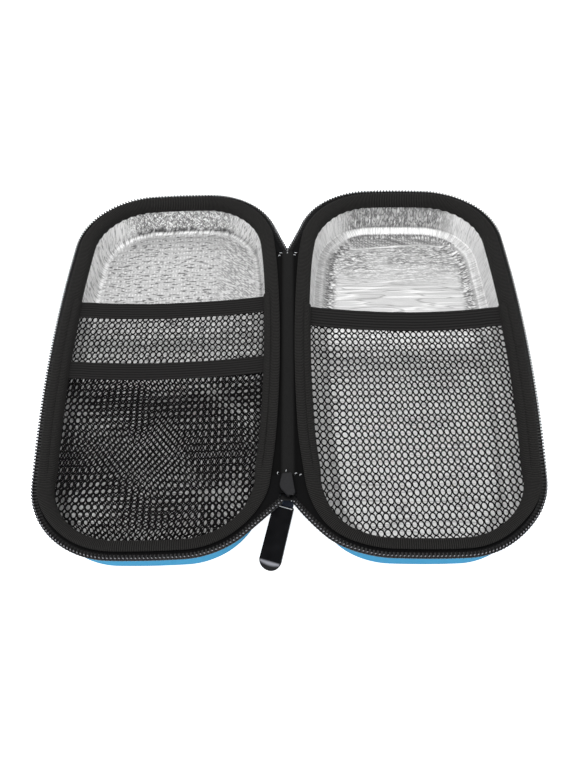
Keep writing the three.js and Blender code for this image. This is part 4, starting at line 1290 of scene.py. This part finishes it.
def makeShield():
    # its straight edge is on one side and the other is scooped out
    nose, low = sliderForm["noseY"], zipForm["mid"] + sliderForm["gap"]
    outline = (arc(2.0, nose + 1.8, 1.0, -90, 0, 6) + arc(0.9, nose + 10.4, 0.8, 0, 90, 5)
               + arc(-1.9, nose + 10.4, 0.8, 90, 170, 5) + arc(0.9, nose + 5.9, 4.4, 172, 232, 10)
               + arc(0.6, nose + 3.8, 3.0, 232, 268, 5))
    shield = plate("slider_shield", [outline], low, low + sliderForm["plate"], sliderForm["rounding"])
    for vertex in shield.data.vertices:     # it rises towards its straight edge
        rise = sliderForm["shieldRise"] * smoothStep(-3.4, 2.4, vertex.co.x)
        vertex.co.z += rise * smoothStep(low + 0.3, low + 0.8, vertex.co.z)
    return shield


def makeSliderFrame():
    nose, half, tail = sliderForm["noseY"], sliderForm["halfWidth"], sliderForm["tailHalf"]
    mid, high = zipForm["mid"], zipForm["mid"] - sliderForm["gap"]
    right = arc(half - 2.2, nose + 2.2, 2.2, -90, 0, 6) + [(half, nose + 4.6)]
    right += arc(tail - 1.6, nose + 9.6, 1.6, 0, 90, 6)
    outline = right + [(-x, y) for x, y in right[::-1]]
    lower = plate("slider_lower", [outline], high - sliderForm["plate"], high, sliderForm["rounding"])
    post = plate("slider_post", [arc(0, nose + 2.0, 1.0, 0, 350, 16)], mid - 1.6, mid + 1.6, 0.1, 1)
    (near, far), low, foot = sliderForm["bridgeY"], sliderForm["bridgeLow"], mid - 2.0
    wire = sliderForm["bridgeWire"]
    arch = [(near, foot), (near, -5.8), (near + 1.0, low), (far - 1.0, low), (far, -5.8), (far, foot),
            (far - wire, foot), (far - wire, -5.5), (far - 1.6, -5.95),
            (near + 1.6, -5.95), (near + wire, -5.5), (near + wire, foot)]
    bridge = plate("slider_bridge", [arch], -sliderForm["bridgeHalf"], sliderForm["bridgeHalf"], 0.2, 2)
    bridge.data.transform(Matrix(((0, 0, 1, 0), (1, 0, 0, 0), (0, 1, 0, 0), (0, 0, 0, 1))))
    rims = []
    for side in (-1, 1):
        x0, x1 = sorted((side * (half - 1.0), side * half))
        box = [(x0, nose + 1.6), (x1, nose + 1.6), (x1, nose + 4.4), (x0, nose + 4.4)]
        rims.append(plate("slider_rim", [box], mid - 1.5, mid - 0.55, 0.2, 1))
    return joinPieces("slider_frame", [lower, post, bridge, *rims])


joinedForm = {
    "firstY": -76.0, "lastY": -69.6, "teeth": 5, "offset": 0.85, "headShare": 0.6,
    # its tape laps under those of both halves
    "tapeReach": 4.9, "tapeDrop": 0.12, "tapeY": (-77.6, -68.8),
}


def makeJoinedCoil(tooth):
    matrices = []
    for i in range(joinedForm["teeth"]):
        for side in (-1, 1):
            y = joinedForm["firstY"] + i * zipForm["pitch"] + (joinedForm["offset"] if side > 0 else 0.0)
            if y < joinedForm["lastY"]:
                place = alongEdge(Vector((0.0, y)), Vector((-side, 0.0)), zipForm["mid"])
                matrices.append(place @ Matrix.Diagonal((1.0, joinedForm["headShare"], 1.0, 1.0)))
    return copies("joined_coil", tooth, matrices)


def makeJoinedTape():
    reach, top = joinedForm["tapeReach"], zipForm["tapeTop"] - joinedForm["tapeDrop"]
    low = top - zipForm["tape"]
    return skin("joined_tape", [[(-reach, y, top), (reach, y, top), (reach, y, low), (-reach, y, low)]
                                for y in np.linspace(*joinedForm["tapeY"], 6)])


def makeLink():
    half, length, (bar, end) = pullForm["linkHalf"], pullForm["linkLength"], pullForm["linkWindow"]
    outer = (arc(0.4, -half + 1.0, 1.0, 180, 270, 5) + [(length, -half), (length, half)]
             + arc(0.4, half - 1.0, 1.0, 90, 180, 5))
    window = [(bar, half - 1.0), (end, half - 1.0), (end, -half + 1.0), (bar, -half + 1.0)]
    return plate("cast_link", [outer, window], -0.6, 0.6, 0.25, 3)


def makeTab():
    start, reach = pullForm["tabStart"], pullForm["reach"]
    head, tip = pullForm["tabHead"], pullForm["tabTip"]
    outline = arc(start + 0.6, -head + 0.6, 0.6, 180, 270, 4) + arc(reach - tip, 0, tip, -90, 90, 28)
    outline += arc(start + 0.6, head - 0.6, 0.6, 90, 180, 4)
    half = pullForm["tabThickness"] / 2
    piece = plate("enamelled_tab", [outline], -half, half, 0.3, 4)
    near, far = pullForm["paintedHighlight"]
    ground = reach - far
    mesh = bmesh.new()
    mesh.from_mesh(piece.data)
    for at in [start + 1.3, start + 1.7, *np.arange(ground - 0.4, reach, 0.4)]:
        bmesh.ops.bisect_plane(mesh, geom=mesh.verts[:] + mesh.edges[:] + mesh.faces[:],
                               plane_co=(at, 0, 0), plane_no=(1, 0, 0))
    for vertex in mesh.verts:      # the end is ground to a slope on both faces
        slope = max(0.0, vertex.co.x - ground) * pullForm["grindSlope"]
        vertex.co.z -= math.copysign(min(slope, abs(vertex.co.z) * 0.75), vertex.co.z)
    mesh.to_mesh(piece.data)
    mesh.free()
    # a painted highlight on the upper face of the ground end
    shares = []
    for x, y, z in (v.co for v in piece.data.vertices):
        end = reach - near - 0.05 * y * y
        highlit = smoothStep(ground - 0.3, ground + 0.3, x) * smoothStep(end + 0.6, end - 0.6, x)
        shares.append(highlit * smoothStep(tip - 0.2, tip - 0.7, abs(y)) if z > 0 else 0.0)
    markPoints(piece, "paintedHighlight", shares)
    return piece


def makeTabEdgeHighlight():
    # a pale strip across the tab's head, a painted highlight on the edge where the tab begins
    face, (near, far), half = pullForm["tabThickness"] / 2, pullForm["highlightX"], pullForm["highlightHalf"]
    box = [(near, -half), (far, -half), (far, half), (near, half)]
    return plate("tab_painted_highlight", [box], face - 0.2, face + 0.07, 0.08, 1)


small = [          # piece, finish, slot, body, place and the nodes that it replaces
    (makeShield(), "zinc", "slider_metal", "slider", sliderPlace, ["slider_body"]),
    (makeSliderFrame(), "shadedZinc", "slider_metal", "slider", sliderPlace, []),
    (makeJoinedCoil(tooth), "nylon", "zip_teeth", "slider", sliderPlace, ["zip_joined_end"]),
    (makeJoinedTape(), "zipTape", "zip_tape", "slider", sliderPlace, []),
    (makeLink(), "link", "slider_metal", "pull", pullPlace, ["pull_link"]),
    (makeTab(), "enamel", "pull_tab", "pull", pullPlace, ["pull_tab"]),
    (makeTabEdgeHighlight(), "thread", "thread", "pull", pullPlace, []),
]
for piece, finish, slot, body, place, replaced in small:
    finishPiece(piece, finishes[finish], body, replaced, place)
bpy.data.objects.remove(tooth)
print("slider and pull made")


# Floor, light and camera

studio = {
    "lens": 46.35, "cameraPlace": (0, -0.2924, 0.3768), "cameraTiltDeg": 37.67,
    "floorGlow": 0.9,        # what the camera sees of the floor, and of that what gloss mirrors
    "mirroredGlow": 0.5,
    "world": 0.55,
    "lamps": {     # place, width, length, radiance
        "top_softbox": ((-0.1, 0.05, 1.2), 1.6, 1.5, 1.2),
        "back_softbox": ((0.0, 0.95, 1.0), 1.5, 0.8, 0.7),
        "front_softbox": ((0.0, -1.3, 0.42), 2.4, 0.5, 3.4),
        "key_lamp": ((-0.5, -0.2, 0.9), 0.25, 0.25, 7.0),
    },
}

bpy.ops.mesh.primitive_plane_add(size=6.0, location=(0, 0, -0.0003))
floor = bpy.context.object
floor.name = "studio_floor"
material, tree, shader = newMaterial("white_sweep", Base_Color="#f0f0f0", Roughness=0.9)
light = addNode(tree, "LightPath").outputs
mirrored = addNode(tree, "Math", {"operation": "MULTIPLY", 1: studio["mirroredGlow"]},
                   {0: light["Is Glossy Ray"]})
seen = addNode(tree, "Math", {"operation": "MAXIMUM"}, {0: light["Is Camera Ray"], 1: mirrored.outputs[0]})
strength = addNode(tree, "Math", {"operation": "MULTIPLY", 1: studio["floorGlow"]}, {0: seen.outputs[0]})
glow = addNode(tree, "Emission", {"Color": (1, 1, 1, 1)}, {"Strength": strength.outputs[0]})
both = addNode(tree, "AddShader", {}, {0: shader.outputs[0], 1: glow.outputs[0]})
tree.links.new(both.outputs[0], tree.nodes["Material Output"].inputs["Surface"])
floor.data.materials.append(material)

world = bpy.data.worlds.new("studio_world")
scene.world = world
world.use_nodes = True
tree = world.node_tree
light = addNode(tree, "LightPath").outputs
backdrop = tree.nodes["Background"]
backdrop.inputs["Color"].default_value = (1, 1, 1, 1)
strength = addNode(tree, "MapRange", {"To Min": studio["world"], "To Max": 1.0},
                   {"Value": light["Is Camera Ray"]})
tree.links.new(strength.outputs[0], backdrop.inputs["Strength"])

for name, (place, width, length, radiance) in studio["lamps"].items():
    lamp = bpy.data.lights.new(name, "AREA")
    lamp.shape = "RECTANGLE"
    lamp.size, lamp.size_y = width, length
    lamp.energy = radiance * math.pi * width * length
    thing = newObject(name, lamp)
    thing.location = place
    thing.rotation_euler = (-Vector(place)).to_track_quat("-Z", "Y").to_euler()

camera = newObject("camera", bpy.data.cameras.new("camera"))
camera.data.sensor_width = 36.0
camera.data.lens = studio["lens"]
camera.location = studio["cameraPlace"]
camera.rotation_euler = (math.radians(studio["cameraTiltDeg"]), 0, 0)
scene.camera = camera
scene.view_settings.view_transform = "Standard"

print("scene made")
